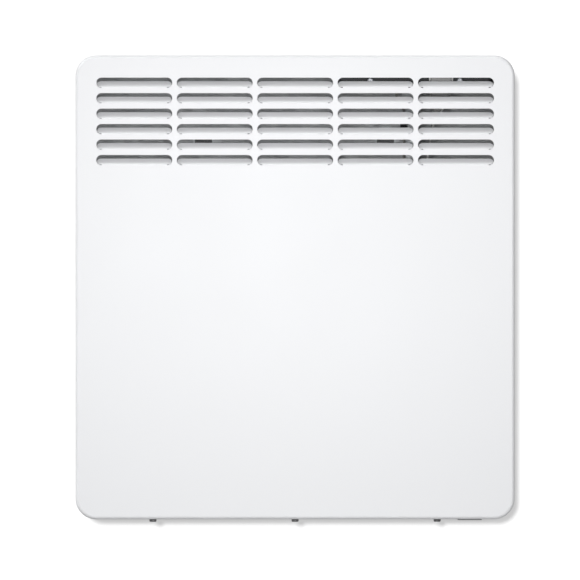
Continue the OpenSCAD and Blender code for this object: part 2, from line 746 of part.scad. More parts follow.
// Wall bracket: two channels and two crossbars in one welded frame, with four hooks.
module channel_section(w, h, t, r) {
  for (s = [0, 1]) mirror([s, 0]) translate([-w / 2, h]) mirror([0, 1]) angle_section(w / 2 + 1, h, t, r);
}

module wall_bracket() color(zinc) stand() {
  rail_r = 1.5;
  blank = hook_z + bracket_t - web_z + hook_tip;   // length of web that a hook is cut from
  difference() {
    for (s = [-1, 1]) translate([s * hook_pitch_x / 2, rail_bottom, 0])
      along_y(rail_top - rail_bottom) channel_section(rail_w, web_z, bracket_t, rail_r);
    translate([0, 0, web_z - bracket_t - over]) {
      for (p = hooks) translate([p[0] - hook_w / 2, p[1] + neck_top - bracket_t - blank, 0])
        cube([hook_w, blank, bracket_t + 2 * over]);
      for (s = [-1, 1], k = [-2:2]) translate([s * hook_pitch_x / 2, k * rail_slot_pitch, 0])
        linear_extrude(bracket_t + 2 * over) rotate(90) slot(rail_slot_l, rail_slot_w);
    }
  }
  for (p = hooks) translate([p[0], p[1] + neck_top, 0]) wall_hook();
  for (s = [-1, 1]) translate([0, s * crossbar_y, 0]) difference() {
    linear_extrude(bracket_t) square([hook_pitch_x - rail_w, rail_w], center = true);
    for (u = [-1, 1]) translate([u * fix_pitch_x / 2, 0, -over])
      linear_extrude(bracket_t + 2 * over) slot(fix_l, 2 * fix_r);
  }
}

// Hook: a tab of the rail's web bent out and up, its neck's top at Y = 0.
module wall_hook() {
  tip_r = hook_bend_r + bracket_t;
  translate([0, -bracket_t, 0]) along_x(hook_w) {
    translate([0, web_z - bracket_t]) square([bracket_t, hook_z + bracket_t - tip_r - web_z + bracket_t]);
    translate([tip_r, hook_z + bracket_t - tip_r]) rotate(90) quarter_ring(hook_bend_r, tip_r);
  }
  translate([0, tip_r - bracket_t, hook_z]) linear_extrude(bracket_t)
    polygon([
      [-hook_w / 2, 0], [hook_w / 2, 0], [hook_w / 2, hook_tip / 3],
      [hook_w / 2 - 3, hook_tip + bracket_t - tip_r], [3 - hook_w / 2, hook_tip + bracket_t - tip_r],
      [-hook_w / 2, hook_tip / 3]
    ]);
}

// Heating element
module heater_tube() color(steel) stand() {
  for (y = legs) across(bend_x, y, element_z) cylinder(r = tube_r, h = tube_end - bend_x);
  translate([bend_x, element_y, element_z]) rotate(90) rotate_extrude(angle = 180)
    translate([leg_offset, 0]) circle(tube_r);
}

// Fin: a plate notched to an X at its sides, with a drawn collar round each leg.
module fin_outline() {
  w = fin_h / 2;
  d = fin_d / 2;
  polygon([
    [-w, -d], [-w + fin_notch, -d], [0, -d + fin_notch / 2], [w - fin_notch, -d], [w, -d],
    [w, -d + fin_notch / 2], [w - fin_notch / 2, 0], [w, d - fin_notch / 2],
    [w, d], [w - fin_notch, d], [0, d - fin_notch / 2], [-w + fin_notch, d], [-w, d],
    [-w, d - fin_notch / 2], [-w + fin_notch / 2, 0], [-w, -d + fin_notch / 2]
  ]);
}

module heater_fins() color(alu) stand()
  for (i = [0:fin_count - 1]) translate([fins_from + i * fin_pitch, element_y, element_z])
    rotate([90, 0, 90]) {
      linear_extrude(fin_t) difference() {
        fin_outline();
        for (s = [-1, 1]) translate([s * leg_offset, 0]) circle(tube_r + press);
      }
      for (s = [-1, 1]) translate([s * leg_offset, 0, fin_t]) linear_extrude(collar_l) difference() {
        circle(tube_r + press + collar_t);
        circle(tube_r + press);
      }
    }

// Bush that snaps into a sheet, its flange to the left of X = 0.
module bush(sheet) {
  rotate_extrude() {
    translate([tube_r + press, -2]) square([bush_r - tube_r + bush_flange, 2]);
    translate([tube_r + press, 0]) square([bush_r - tube_r - 2 * press, sheet]);
    translate([tube_r + press, sheet]) square([bush_r - tube_r + 0.5, 1.5]);
  }
}

module heater_bushes() color(ceramic) stand() for (y = legs) {
  across(part_x, y, element_z) bush(part_t);
  across(left_bracket_x, y, element_z) bush(bracket_sheet);
}

module heater_end_bracket() color(zinc) stand() difference() {
  translate([left_bracket_x, element_y - end_bracket_l / 2, floor_z]) along_y(end_bracket_l)
    angle_section(14, element_z + 16 - floor_z, bracket_sheet, bend_r);
  for (y = legs) across(left_bracket_x - over, y, element_z)
    cylinder(r = bush_r, h = bracket_sheet + 2 * over);
  panel_screw_holes();
}

module heater_terminals() color(ceramic) stand() for (y = legs) across(tube_end, y, element_z) {
  cylinder(r1 = tube_r - 0.4, r2 = tube_r - 1.2, h = 4);
  translate([0, 0, 4]) cylinder(r = 1.6, h = terminal_l - 4);
}

// Limiter: a bimetal disc cut-out with two tabs, clamped to the partition.
module safety_limiter() color(dark) stand() across(part_x, limiter_y, element_z) rotate([180, 0, 0]) {
  cylinder(r = limiter_r, h = limiter_cap);
  translate([0, 0, limiter_cap]) cylinder(r = limiter_r - 2, h = limiter_body);
  for (s = [-1, 1]) translate([s * 3 - tab_t / 2, -tab_w / 2, limiter_cap + limiter_body])
    cube([tab_t, tab_w, limiter_tab_l]);
}

module limiter_clamp() color(alu) stand() across(part_x, limiter_y, element_z) rotate([180, 0, 90]) {
  translate([0, 0, limiter_cap]) linear_extrude(bracket_sheet) difference() {
    slot(clamp_pitch + 10, 2 * limiter_r);
    circle(limiter_r - 2 + press);
  }
  for (s = [-1, 1]) translate([s * clamp_pitch / 2, 0, -part_t]) {
    cylinder(r = rivet_r, h = part_t + limiter_cap + bracket_sheet + rivet_head / 2);
    translate([0, 0, part_t]) cylinder(r = rivet_r + 1.4, h = limiter_cap + bracket_sheet / 2);
    translate([0, 0, part_t + limiter_cap + bracket_sheet / 2])
      cylinder(r = rivet_r + 1, h = bracket_sheet / 2 + rivet_head);
    translate([0, 0, -rivet_head]) cylinder(r = rivet_r + 1, h = rivet_head);
  }
}

// Control unit: moulded box under a sunk fascia
module control_housing() color(dark) {
  difference() {
    at(ctl_x, ctl_bottom, box_z) linear_extrude(ctl_h) round_rect(ctl_w, box_d, 4);
    at(ctl_x, ctl_bottom + wall_t, box_z) linear_extrude(ctl_h)
      round_rect(ctl_w - 2 * wall_t, box_d - 2 * wall_t, 2);
    at(ribbon_x, ctl_bottom - over, ribbon_z) linear_extrude(wall_t + 2 * over)
      square([ribbon_w + 2, 6], center = true);
    at(limiter_exit_x, ctl_bottom - over, limiter_exit_z) cylinder(r = limiter_exit_r, h = wall_t + 2 * over);
    each_control_screw() translate([0, 0, -ctl_boss_l - over])
      cylinder(r = ctl_screw_r + press, h = 2 * ctl_boss_l);
    for (k = [-6:6]) at(ctl_x + 9 * k - 4, ctl_bottom + wall_t + 2, ctl_back - over) rotate([90, 0, 0])
      linear_extrude(wall_t + 2 * over) square([3, 9]);
  }
  difference() {
    each_control_screw() translate([0, 0, -wall_t - ctl_boss_l])
      cylinder(r = ctl_boss_r, h = ctl_boss_l + wall_t / 2);
    each_control_screw() translate([0, 0, -wall_t - ctl_boss_l - over])
      cylinder(r = ctl_screw_r + press, h = ctl_boss_l + wall_t + 2 * over);
  }
  for (s = [-1, 1], u = [-1, 1])
    at(ctl_x + s * (ctl_w / 2 - 12), ctl_bottom + wall_t, box_z + u * (box_d / 2 - 8))
      cylinder(r = 3, h = board_under - ctl_bottom - wall_t);
}

// Screws through the fascia's skirt: Z = 0 is the front wall of the housing, Z out.
module each_control_screw() {
  for (s = [-1, 1]) stand() translate([ctl_x + s * ctl_screw_pitch / 2, ctl_screw_y, ctl_back + box_d])
    children();
}

module control_fascia() color(dark) difference() {
  island_w = ctl_w - 2 * fascia_ledge;
  island_d = ctl_d - 2 * fascia_ledge;
  union() {
    at(ctl_x, fascia_under, ctl_z) linear_extrude(fascia_t) round_rect(ctl_w, ctl_d, 4);
    at(ctl_x, ctl_top, ctl_z) linear_extrude(fascia_face - ctl_top) round_rect(island_w, island_d, 4);
    at(ctl_x, fascia_under - skirt_h, ctl_front - wall_t / 2) linear_extrude(skirt_h)
      square([ctl_w - 8, wall_t], center = true);
  }
  each_button_place() translate([0, 0, -over]) cylinder(r = button_r + button_gap, h = fascia_t + 4);
  at(ctl_x, fascia_face - window_t, ctl_z) linear_extrude(window_t + over)
    round_rect(display_w + 2 * press, display_d + 2 * press, 2);
  at(ctl_x, fascia_under - over, ctl_z) linear_extrude(fascia_t + 2 * over)
    round_rect(display_w - 2 * window_ledge, display_d - 2 * window_ledge, 2);
  each_control_screw() translate([0, 0, -over]) cylinder(r = ctl_screw_r + press, h = wall_t + 3 * over);
}

// Places of the buttons, on the underside of the fascia.
module each_button_place() { for (x = button_xs) at(ctl_x + x, fascia_under, ctl_z) children(); }

module display_window() color("#0d1012", 0.6) at(ctl_x, fascia_face - window_t, ctl_z)
  linear_extrude(window_t - 0.05) round_rect(display_w, display_d, 2);

module display_module() color("#5d6660") {
  at(ctl_x, board_top, ctl_z) linear_extrude(fascia_under - run - 2 - board_top)
    round_rect(display_w - 10, display_d - 6, 1);
  at(ctl_x, fascia_under - run - 2, ctl_z) linear_extrude(2)
    round_rect(display_w - 4, display_d, 1);
}

// Button: a dished cap with a flange that stays under the fascia, and a stem.
module control_button(k) {
  cap_h = fascia_face + button_proud - fascia_under + run;
  at(ctl_x + button_xs[k], fascia_under - run, ctl_z) {
    difference() {
      rotate_extrude() {
        square([button_r, cap_h - cap_edge_r]);
        square([button_r - cap_edge_r, cap_h]);
        translate([button_r - cap_edge_r, cap_h - cap_edge_r]) quarter_disc(cap_edge_r);
      }
      translate([0, 0, cap_h + dish_r - dish_depth]) sphere(r = dish_r, $fn = 96);
    }
    translate([0, 0, -button_flange_t]) cylinder(r = button_flange_r, h = button_flange_t);
    translate([0, 0, -button_flange_t - stem_l]) cylinder(r = stem_r, h = stem_l);
  }
}
module button_standby() color("#3a3b3d") control_button(0);
module button_menu() color("#3a3b3d") control_button(1);
module button_minus() color("#3a3b3d") control_button(2);
module button_plus() color("#3a3b3d") control_button(3);

module control_board() color(board_green) {
  at(ctl_x, board_under, box_z) linear_extrude(board_t)
    round_rect(ctl_w - 2 * wall_t - 2, box_d - 2 * wall_t - 2, 1);
  at(ribbon_x, board_under - header_l, ribbon_z) linear_extrude(header_l) difference() {
    square([ribbon_w + 2 * header_wall, ribbon_t + 2 * header_wall], center = true);
    square([ribbon_w + 2 * run, ribbon_t + 2 * run], center = true);
  }
  for (k = [0:2]) at(chip_x + k * chip_pitch, board_under - chip[2], chip_z)
    linear_extrude(chip[2]) square([chip[0], chip[1]], center = true);
}

module button_switches() color(steel) for (x = button_xs) at(ctl_x + x, board_top, ctl_z) {
  body_h = stem_bottom - board_top - button_travel - key_plunger_l - 0.2;
  linear_extrude(body_h) square([key_w, key_w], center = true);
  translate([0, 0, body_h]) cylinder(r = key_plunger_r, h = key_plunger_l);
}

module control_screws() color(steel) each_control_screw()
  translate([0, 0, wall_t + press]) screw(ctl_screw_r, ctl_screw_head_r, 2, ctl_screw_l);

// Power electronics
module power_tray() color(dark) stand() difference() {
  union() {
    translate([tray_x, tray_y, floor_z]) {
      linear_extrude(tray_t) round_rect(tray_w, tray_l, 3);
      linear_extrude(tray_h) difference() {
        round_rect(tray_w, tray_l, 3);
        round_rect(tray_w - 2 * tray_t, tray_l - 2 * tray_t, 1.2);
      }
      linear_extrude(tray_t) square([14, tray_l + 2 * tray_lug], center = true);
    }
    each_board_post() cylinder(r = 3, h = board_lift);
  }
  panel_screw_holes();
  translate([ribbon_end_x, tray_top, floor_z + tray_h])
    cube([ribbon_w + 8, 3 * tray_t, 2 * header_wall], center = true);
}

module each_board_post() {
  for (s = [-1, 1], u = [-1, 1])
    translate([tray_x + s * (tray_w / 2 - 8), tray_y + u * (tray_l / 2 - 8), floor_z + tray_t]) children();
}

module power_board() color(board_green) stand() {
  translate([tray_x, tray_y, power_z]) linear_extrude(board_t)
    round_rect(tray_w - 2 * tray_t - 2, tray_l - 2 * tray_t - 2, 1);
  difference() {
    translate([ribbon_end_x, header_y + header_l / 2, header_z])
      cube([ribbon_w + 2 * header_wall, header_l, header_h], center = true);
    translate([ribbon_end_x, header_y + header_l, header_z])
      cube([ribbon_w + 2 * run, socket_l, ribbon_t + 2 * run], center = true);
  }
}

module relays() color("#20242c") stand() for (x = relay_xs) translate([x, relay_y, power_face]) {
  linear_extrude(relay[2]) round_rect(relay[0], relay[1], 0.8);
  translate([-tab_t / 2, -tab_w / 2, relay[2]]) cube([tab_t, tab_w, relay_tab_l]);
}

// Terminal block: three screw clamps with their wire entries facing down.
module terminal_block() color("#d9dcd6") stand() translate([tray_x, block_y, power_face]) difference() {
  for (k = [-1:1]) translate([k * block[0], 0, 0]) {
    linear_extrude(block[2]) square([block[0], block[1]], center = true);
    translate([0, 2, block[2]]) linear_extrude(1.5) difference() {
      circle(block_screw_r);
      circle(block_screw_r - 1.4);
    }
  }
  for (k = [-1:1]) translate([k * block[0], -block[1] / 2 - over, entry_z - power_face]) rotate([-90, 0, 0])
    cylinder(r = lead_r + run, h = entry_l + over);
}

// Suppressor: film capacitor and ring choke.
module suppressor() color("#b98a2c") stand() {
  translate([tray_right - 15, block_y + 36, power_face])
    linear_extrude(capacitor[2]) round_rect(capacitor[0], capacitor[1], 0.8);
  translate([tray_left + 14, block_y + 16, power_face + choke_wire_r]) rotate_extrude()
    translate([choke_r, 0]) circle(choke_wire_r);
}

// Power supply: small transformer and a reservoir capacitor.
module power_supply() color("#6d7074") stand() translate([tray_right - 21, tray_top - 28, power_face]) {
  linear_extrude(transformer[2]) difference() {
    square([transformer[0], transformer[1]], center = true);
    for (s = [-1, 1]) translate([s * (transformer[0] / 2 - 1), 0])
      square([bobbin[0], bobbin[1]], center = true);
  }
  for (s = [-1, 1]) translate([s * (transformer[0] / 2 - 1), 0, (transformer[2] - bobbin[2]) / 2])
    linear_extrude(bobbin[2]) square([bobbin[0] - 0.4, bobbin[1] - 0.4], center = true);
  translate([-4, -24, 0]) cylinder(r = reservoir_r, h = reservoir_h);
}

// Mains switch
module switch_housing() color("#d5d6d7") at(switch_x, shelf_y, switch_z) difference() {
  cavity_l = switch_body_l - 2 * switch_wall;
  cavity_w = switch_body_w - 2 * switch_wall;
  union() {
    translate([0, 0, -switch_bezel]) linear_extrude(switch_bezel) round_rect(switch_w, switch_l, 2);
    linear_extrude(switch_body_h) round_rect(switch_body_w, switch_body_l, 1);
  }
  translate([0, 0, -switch_bezel - over]) linear_extrude(switch_bezel + over + 10)
    square([cavity_w, cavity_l], center = true);
  translate([0, 0, pivot_y - shelf_y]) rotate([0, 90, 0])
    cylinder(r = pivot_r + pivot_gap, h = cavity_w + 2 * (switch_wall - 0.4), center = true);
}

module switch_rocker() color("#c9cacb") at(switch_x, pivot_y, switch_z) rotate([-rocker_travel / 2, 0, 0]) {
  side_gap = (switch_body_w - 2 * switch_wall - rocker_w) / 2;
  along_x(rocker_w) {
    intersection() {
      circle(rocker_r);
      polygon([
        [-rocker_r, -rocker_face], [0, -rocker_dip], [rocker_r, -rocker_face],
        [rocker_r, rocker_shoulder], [3, rocker_top], [-3, rocker_top], [-rocker_r, rocker_shoulder]
      ]);
    }
    translate([-1.2, rocker_top]) square([2.4, 2.4]);
  }
  rotate([0, 90, 0]) cylinder(r = pivot_r, h = rocker_w + 2 * (side_gap + switch_wall - 0.6), center = true);
}

module switch_tabs() color("#c9a24a") at(switch_x, shelf_y + switch_body_h, switch_z)
  for (x = [-5, 5], y = [-7, 7]) translate([x - tab_t / 2, y - tab_w / 2, 0])
    cube([tab_t, tab_w, switch_tab_l]);

// Cable gland: bush that snaps into the rear panel where the mains cable enters.
module cable_gland() color(dark) stand() translate([gland_x, gland_y, back_z]) rotate_extrude() {
  translate([gland_r, -gland_flange_t]) square([gland_flange_r - gland_r, gland_flange_t]);
  translate([gland_r, 0]) square([gland_collar_r - gland_r, sheet_t]);
  translate([gland_r, sheet_t]) square([gland_collar_r + 1 - gland_r, gland_bead]);
  translate([gland_r, sheet_t + gland_bead]) square([gland_collar_r - gland_r, gland_inside - gland_bead]);
}

// Room sensor, in a holder on the grille where the cool air comes in.
module sensor_holder() color(inside_white) at(sensor_x, shelf_top, sensor_z) difference() {
  union() {
    linear_extrude(holder_foot[2]) round_rect(holder_foot[0], holder_foot[1], 2);
    linear_extrude(holder_h - 4) square([4, 12], center = true);
    translate([0, 0, holder_h - 4]) rotate([90, 0, 0]) cylinder(r = sensor_r + 2, h = 10, center = true);
  }
  translate([0, 0, holder_h - 4]) rotate([90, 0, 0]) cylinder(r = sensor_r + press, h = 12, center = true);
}

module room_sensor() color("#3b3b3d") at(sensor_x, sensor_y, sensor_back) rotate([90, 0, 0]) {
  cylinder(r = sensor_r, h = sensor_l);
  translate([0, 0, sensor_l]) sphere(r = sensor_r);
}

// Clip that holds the limiter's lead on the partition's flange.
module cable_clip() color("#161616") stand() translate([clip_x, clip_y - clip_l / 2, 0]) along_y(clip_l) {
  translate([0, clip_z]) difference() {
    circle(lead_r + press + clip_wall - 0.1);
    circle(lead_r + press);
  }
  for (s = [-1, 1]) translate([s * 2.9 - 0.6, floor_z + part_t]) square([1.2, 3]);
}

// Leads: tubes and a flat strip that follow their routes smoothly.
function unit(v) = v / norm(v);
function blend4(a, b, c, d, u) =
  0.5 * (2 * b + (c - a) * u + (2 * a - 5 * b + 4 * c - d) * u * u + (3 * b - a - 3 * c + d) * u * u * u);
function smooth_route(p, n) =
  let (q = concat([2 * p[0] - p[1]], p, [2 * p[len(p) - 1] - p[len(p) - 2]]))
  concat([for (i = [1:len(p) - 1], k = [0:n - 1]) blend4(q[i - 1], q[i], q[i + 1], q[i + 2], k / n)],
         [p[len(p) - 1]]);
function xyz(v) = [v[0], v[1], v[2]];
function tangents(c) = [for (i = [0:len(c) - 1])
  unit(xyz(c[min(i + 1, len(c) - 1)]) - xyz(c[max(i - 1, 0)]))];
function square_to(n, t) = unit(n - (n * t) * t);
function carried(t, done) =
  len(done) == len(t) ? done : carried(t, concat(done, [square_to(done[len(done) - 1], t[len(done)])]));

// Closed solid through rings of points, each ring turning the same way about the route.
module through_rings(rings) {
  n = len(rings[0]);
  last = len(rings) - 1;
  polyhedron(
    points = [for (r = rings, p = r) p],
    faces = concat(
      [[for (k = [0:n - 1]) k]],
      [[for (k = [0:n - 1]) last * n + n - 1 - k]],
      [for (i = [0:last - 1], k = [0:n - 1]) let (m = (k + 1) % n)
        [i * n + k, (i + 1) * n + k, (i + 1) * n + m]],
      [for (i = [0:last - 1], k = [0:n - 1]) let (m = (k + 1) % n)
        [i * n + k, (i + 1) * n + m, i * n + m]]
    )
  );
}

module lead(points, r, n = 3, sides = 8) {
  c = smooth_route(points, n);
  t = tangents(c);
  start = abs(t[0][2]) < 0.9 ? [0, 0, 1] : [1, 0, 0];
  side = carried(t, [square_to(start, t[0])]);
  through_rings([for (i = [0:len(c) - 1]) [for (k = [0:sides - 1])
    c[i] + r * (cos(360 * k / sides) * side[i] + sin(360 * k / sides) * cross(t[i], side[i]))]]);
}

module ribbon_cable() color("#e9e7df") stand() {
  c = smooth_route(ribbon_route, 3);
  t = tangents(c);
  through_rings([for (i = [0:len(c) - 1])
    let (w = square_to([cos(c[i][3]), 0, sin(c[i][3])], t[i]), h = cross(t[i], w),
         a = ribbon_w / 2 * w, b = ribbon_t / 2 * h)
    [xyz(c[i]) + a + b, xyz(c[i]) - a + b, xyz(c[i]) - a - b, xyz(c[i]) + a - b]]);
}

module limiter_leads() color("#e4e2dc") stand() lead(limiter_route, lead_r);

module element_leads() color("#dfd9cc") stand() {
  lead(upper_element_route, lead_r);
  lead(lower_element_route, lead_r);
}

module switch_leads() color("#7a4a2a") stand() {
  lead(left_switch_route, lead_r);
  lead(right_switch_route, lead_r);
}

module sensor_lead() color("#d9d9d9") stand() lead(sensor_route, thin_lead_r);

front_panel();
rear_panel();
intake_grille();
partition();
heat_shield();
casing_screws();
panel_screws();
wall_bracket();
heater_tube();
heater_fins();
heater_bushes();
heater_end_bracket();
heater_terminals();
safety_limiter();
limiter_clamp();
control_housing();
control_fascia();
display_window();
display_module();
button_standby();
button_menu();
button_minus();
button_plus();
control_board();
button_switches();
control_screws();
ribbon_cable();
power_tray();
power_board();
relays();
terminal_block();
suppressor();
power_supply();
switch_housing();
switch_rocker();
switch_tabs();
cable_gland();
sensor_holder();
room_sensor();
cable_clip();
element_leads();
limiter_leads();
switch_leads();
sensor_lead();
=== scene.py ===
import bmesh
import bpy
import json
import math
from mathutils import Matrix, Vector
from mathutils.bvhtree import BVHTree


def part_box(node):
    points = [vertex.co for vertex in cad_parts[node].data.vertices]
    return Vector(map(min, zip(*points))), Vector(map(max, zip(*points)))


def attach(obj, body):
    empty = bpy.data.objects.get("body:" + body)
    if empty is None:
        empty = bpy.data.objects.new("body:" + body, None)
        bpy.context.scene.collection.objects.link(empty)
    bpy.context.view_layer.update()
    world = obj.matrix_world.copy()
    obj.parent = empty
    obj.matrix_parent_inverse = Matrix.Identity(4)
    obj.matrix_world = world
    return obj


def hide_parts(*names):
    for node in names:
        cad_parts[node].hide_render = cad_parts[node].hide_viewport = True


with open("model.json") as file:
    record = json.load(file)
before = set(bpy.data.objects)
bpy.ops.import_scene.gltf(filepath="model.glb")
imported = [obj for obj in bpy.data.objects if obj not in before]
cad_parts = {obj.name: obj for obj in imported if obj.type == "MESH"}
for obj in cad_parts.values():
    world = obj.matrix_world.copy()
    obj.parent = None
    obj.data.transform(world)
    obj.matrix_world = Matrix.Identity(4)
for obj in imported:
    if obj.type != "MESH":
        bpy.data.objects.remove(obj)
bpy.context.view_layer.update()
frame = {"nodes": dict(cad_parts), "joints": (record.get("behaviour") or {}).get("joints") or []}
cad = frame["nodes"]

# The picture: a straight view through a very long lens, from a touch above and to the left of
# square on, so that a sliver of the casing's upper and left sides shows beside the front.
lens, sensor = 600, 36
picture_width = 0.5626
picture_middle = Vector((-0.0050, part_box("front_panel")[0].y, -0.0025))
above, leftward = math.radians(0.35), math.radians(0.42)
camera_data = bpy.data.cameras.new("camera")
camera_data.lens, camera_data.sensor_width = lens, sensor
camera = bpy.data.objects.new("camera", camera_data)
sight = Vector((-math.sin(leftward), -1, math.sin(above))).normalized()
camera.location = picture_middle + sight * picture_width * lens / sensor
camera.rotation_euler = sight.to_track_quat("Z", "Y").to_euler()
bpy.context.scene.collection.objects.link(camera)
bpy.context.scene.camera = camera
bpy.context.scene.view_settings.view_transform = "Standard"


# The room: a white wall that the heater hangs on and a pale floor well below it. The wall keeps
# the heater's narrow shadow, and behind the casing its glow fades as painted shade.
def put(tree, kind, settings=None, **inputs):
    """Adds a node and sets its properties and its inputs, whose names have _ for a space."""
    made = tree.nodes.new("ShaderNode" + kind)
    for name, value in (settings or {}).items():
        setattr(made, name, value)
    for name, value in inputs.items():
        label = name.replace("_", " ")
        if isinstance(value, bpy.types.NodeSocket):
            tree.links.new(value, made.inputs[label])
        else:
            made.inputs[label].default_value = value
    return made


def spread(tree, factor, low, high, start=0.0, end=1.0):
    """Number that runs from low to high as factor goes from start to end."""
    made = put(tree, "MapRange", Value=factor)
    for label, value in (("From Min", start), ("From Max", end), ("To Min", low), ("To Max", high)):
        made.inputs[label].default_value = value
    return made.outputs["Result"]


def room_face(name, corners, own_white, shaded_white, painted_shade_where_covered=False):
    """One large flat face of the room, seen from its front only: part glow, part matt paint, and painted
    shade if covered.
    """
    mesh = bpy.data.meshes.new(name)
    mesh.from_pydata(corners, [], [(0, 1, 2, 3)])
    made = bpy.data.objects.new(name, mesh)
    bpy.context.scene.collection.objects.link(made)
    made.visible_diffuse = made.visible_glossy = False
    made.visible_transmission = made.visible_shadow = False
    paint = bpy.data.materials.new(name + "_paint")
    paint.use_nodes = True
    tree = paint.node_tree
    tree.nodes.clear()
    glow = put(tree, "Emission", Color=(1, 1, 1, 1), Strength=own_white)
    # Painted shade: the glow fades where ambient occlusion finds the face hemmed in, so the wall is dark
    # behind the casing.
    if painted_shade_where_covered:
        open_sky = put(tree, "AmbientOcclusion", {"samples": 12}, Distance=0.16)
        tree.links.new(spread(tree, open_sky.outputs["AO"], 0.0, own_white, 0.05, 0.26),
                       glow.inputs["Strength"])
    matt = put(tree, "BsdfDiffuse", Color=(shaded_white, shaded_white, shaded_white, 1))
    both = tree.nodes.new("ShaderNodeAddShader")
    tree.links.new(glow.outputs[0], both.inputs[0])
    tree.links.new(matt.outputs[0], both.inputs[1])
    sides = tree.nodes.new("ShaderNodeMixShader")
    tree.links.new(put(tree, "NewGeometry").outputs["Backfacing"], sides.inputs[0])
    tree.links.new(both.outputs[0], sides.inputs[1])
    tree.links.new(put(tree, "BsdfTransparent").outputs[0], sides.inputs[2])
    out = tree.nodes.new("ShaderNodeOutputMaterial")
    tree.links.new(sides.outputs[0], out.inputs["Surface"])
    mesh.materials.append(paint)
    return made


room, floor_level = 14.0, -1.1
wall = room_face("wall", [(-room, 0, floor_level), (room, 0, floor_level), (room, 0, room),
                          (-room, 0, room)], 0.515, 0.24, painted_shade_where_covered=True)
room_face("floor", [(-room, -room, floor_level), (room, -room, floor_level), (room, room, floor_level),
                    (-room, room, floor_level)], 0.66, 0.36)


# The light: a lamp close to the lens that only the wall receives draws the narrow shadow along the
# right and lower edges; the heater has a lamp that skims its upper and left edges, a small front
# lamp and a wide softbox before its upper half, and the pale room itself.
def figure(tree, operation, *terms, clamp=False):
    """One sum: each term is a number or the output of a node."""
    made = put(tree, "Math", {"operation": operation, "use_clamp": clamp})
    for k, term in enumerate(terms):
        if isinstance(term, bpy.types.NodeSocket):
            tree.links.new(term, made.inputs[k])
        else:
            made.inputs[k].default_value = term
    return made.outputs[0]


def lamp(name, kind, energy, receivers, **settings):
    """A lamp that lights what its receivers allow."""
    data = bpy.data.lights.new(name, kind)
    data.energy = energy
    for label, value in settings.items():
        setattr(data, label, value)
    made = bpy.data.objects.new(name, data)
    bpy.context.scene.collection.objects.link(made)
    made.light_linking.receiver_collection = receivers
    return made


only_wall = bpy.data.collections.new("only_wall")
only_wall.objects.link(wall)
all_but_wall = bpy.data.collections.new("all_but_wall")
all_but_wall.objects.link(wall)
all_but_wall.collection_objects[0].light_linking.link_state = "EXCLUDE"
towards_lamp = Vector((-0.071, -1, 0.079))
wall_lamp = lamp("wall_lamp", "SUN", 6.9, only_wall, angle=math.radians(3.8))
wall_lamp.rotation_euler = towards_lamp.to_track_quat("Z", "Y").to_euler()
edge_lamp = lamp("edge_lamp", "SUN", 0.45 * math.pi, all_but_wall, angle=math.radians(25))
edge_lamp.rotation_euler = Vector((-0.70, -0.20, 0.70)).to_track_quat("Z", "Y").to_euler()
lamp_x, lamp_y = -0.03, -1.2
for name, energy, size, height in (("front_lamp", 4.5, 0.2, 0.07), ("softbox", 3.6, 0.9, 0.29)):
    made = lamp(name, "AREA", energy, all_but_wall, shape="RECTANGLE", size=size, size_y=size)
    made.location = (lamp_x, lamp_y, height)
    made.rotation_euler = made.location.to_track_quat("Z", "Y").to_euler()

world = bpy.data.worlds.new("pale_room")
bpy.context.scene.world = world
world.use_nodes = True
tree = world.node_tree
tree.nodes.clear()
room_light = 0.32
path = put(tree, "LightPath")
seen = figure(tree, "MAXIMUM", path.outputs["Is Camera Ray"], path.outputs["Is Transmission Ray"])
room_glow = put(tree, "Background", Color=(1, 1, 1, 1), Strength=spread(tree, seen, room_light, 1.0))
out = tree.nodes.new("ShaderNodeOutputWorld")
tree.links.new(room_glow.outputs[0], out.inputs["Surface"])


# Wall bracket: two hooked channels and two flat crossbars of 1.5 mm galvanised steel, welded into
# one frame. The zinc has the crystal spangle of hot-dipped sheet.
def new_group(name, inputs, outputs):
    """An empty shader group with named number inputs and outputs."""
    group = bpy.data.node_groups.new(name, "ShaderNodeTree")
    for label, value in inputs.items():
        socket = group.interface.new_socket(label, in_out="INPUT", socket_type="NodeSocketFloat")
        socket.default_value = value
    for label in outputs:
        group.interface.new_socket(label, in_out="OUTPUT", socket_type="NodeSocketFloat")
    given, result = group.nodes.new("NodeGroupInput"), group.nodes.new("NodeGroupOutput")
    return group, given.outputs, result.inputs


def use_group(tree, group, **inputs):
    """Places a shader group in a material with its own values."""
    made = tree.nodes.new("ShaderNodeGroup")
    made.node_tree = group
    for name, value in inputs.items():
        made.inputs[name.replace("_", " ")].default_value = value
    return made.outputs


def finish_of(name, colour, roughness, metallic=0.0, **constants):
    """A material with one shader, whose steady values are set on its own sockets."""
    made = bpy.data.materials.new(name)
    made.use_nodes = True
    shader = made.node_tree.nodes["Principled BSDF"]
    shader.inputs["Base Color"].default_value = (*colour, 1)
    shader.inputs["Roughness"].default_value = roughness
    shader.inputs["Metallic"].default_value = metallic
    for label, value in constants.items():
        shader.inputs[label.replace("_", " ")].default_value = value
    return made, made.node_tree, shader.inputs


def tint(tree, factor, dark, light):
    """Colour that runs from dark to light as factor goes from 0 to 1; each may be an output."""
    made = put(tree, "Mix", {"data_type": "RGBA"})
    tree.links.new(factor, made.inputs["Factor"])
    for socket, colour in ((made.inputs[6], dark), (made.inputs[7], light)):
        if isinstance(colour, bpy.types.NodeSocket):
            tree.links.new(colour, socket)
        else:
            socket.default_value = (*colour, 1)
    return made.outputs[2]


def place_in(tree):
    """Where a point of the surface is, in metres."""
    return put(tree, "TexCoord").outputs["Object"]


def feed(tree, shader, **outputs):
    """Links outputs of nodes to the shader's inputs, whose names have _ for a space."""
    for name, output in outputs.items():
        tree.links.new(output, shader[name.replace("_", " ")])


def relief(tree, shader, height, strength, distance):
    """Feeds a height into the shader's normal."""
    made = put(tree, "Bump", Height=height, Strength=strength, Distance=distance)
    tree.links.new(made.outputs["Normal"], shader["Normal"])


def dress(material, *names):
    """Gives CAD nodes their finish."""
    for name in names:
        mesh = cad[name].data
        mesh.materials.clear()
        mesh.materials.append(material)


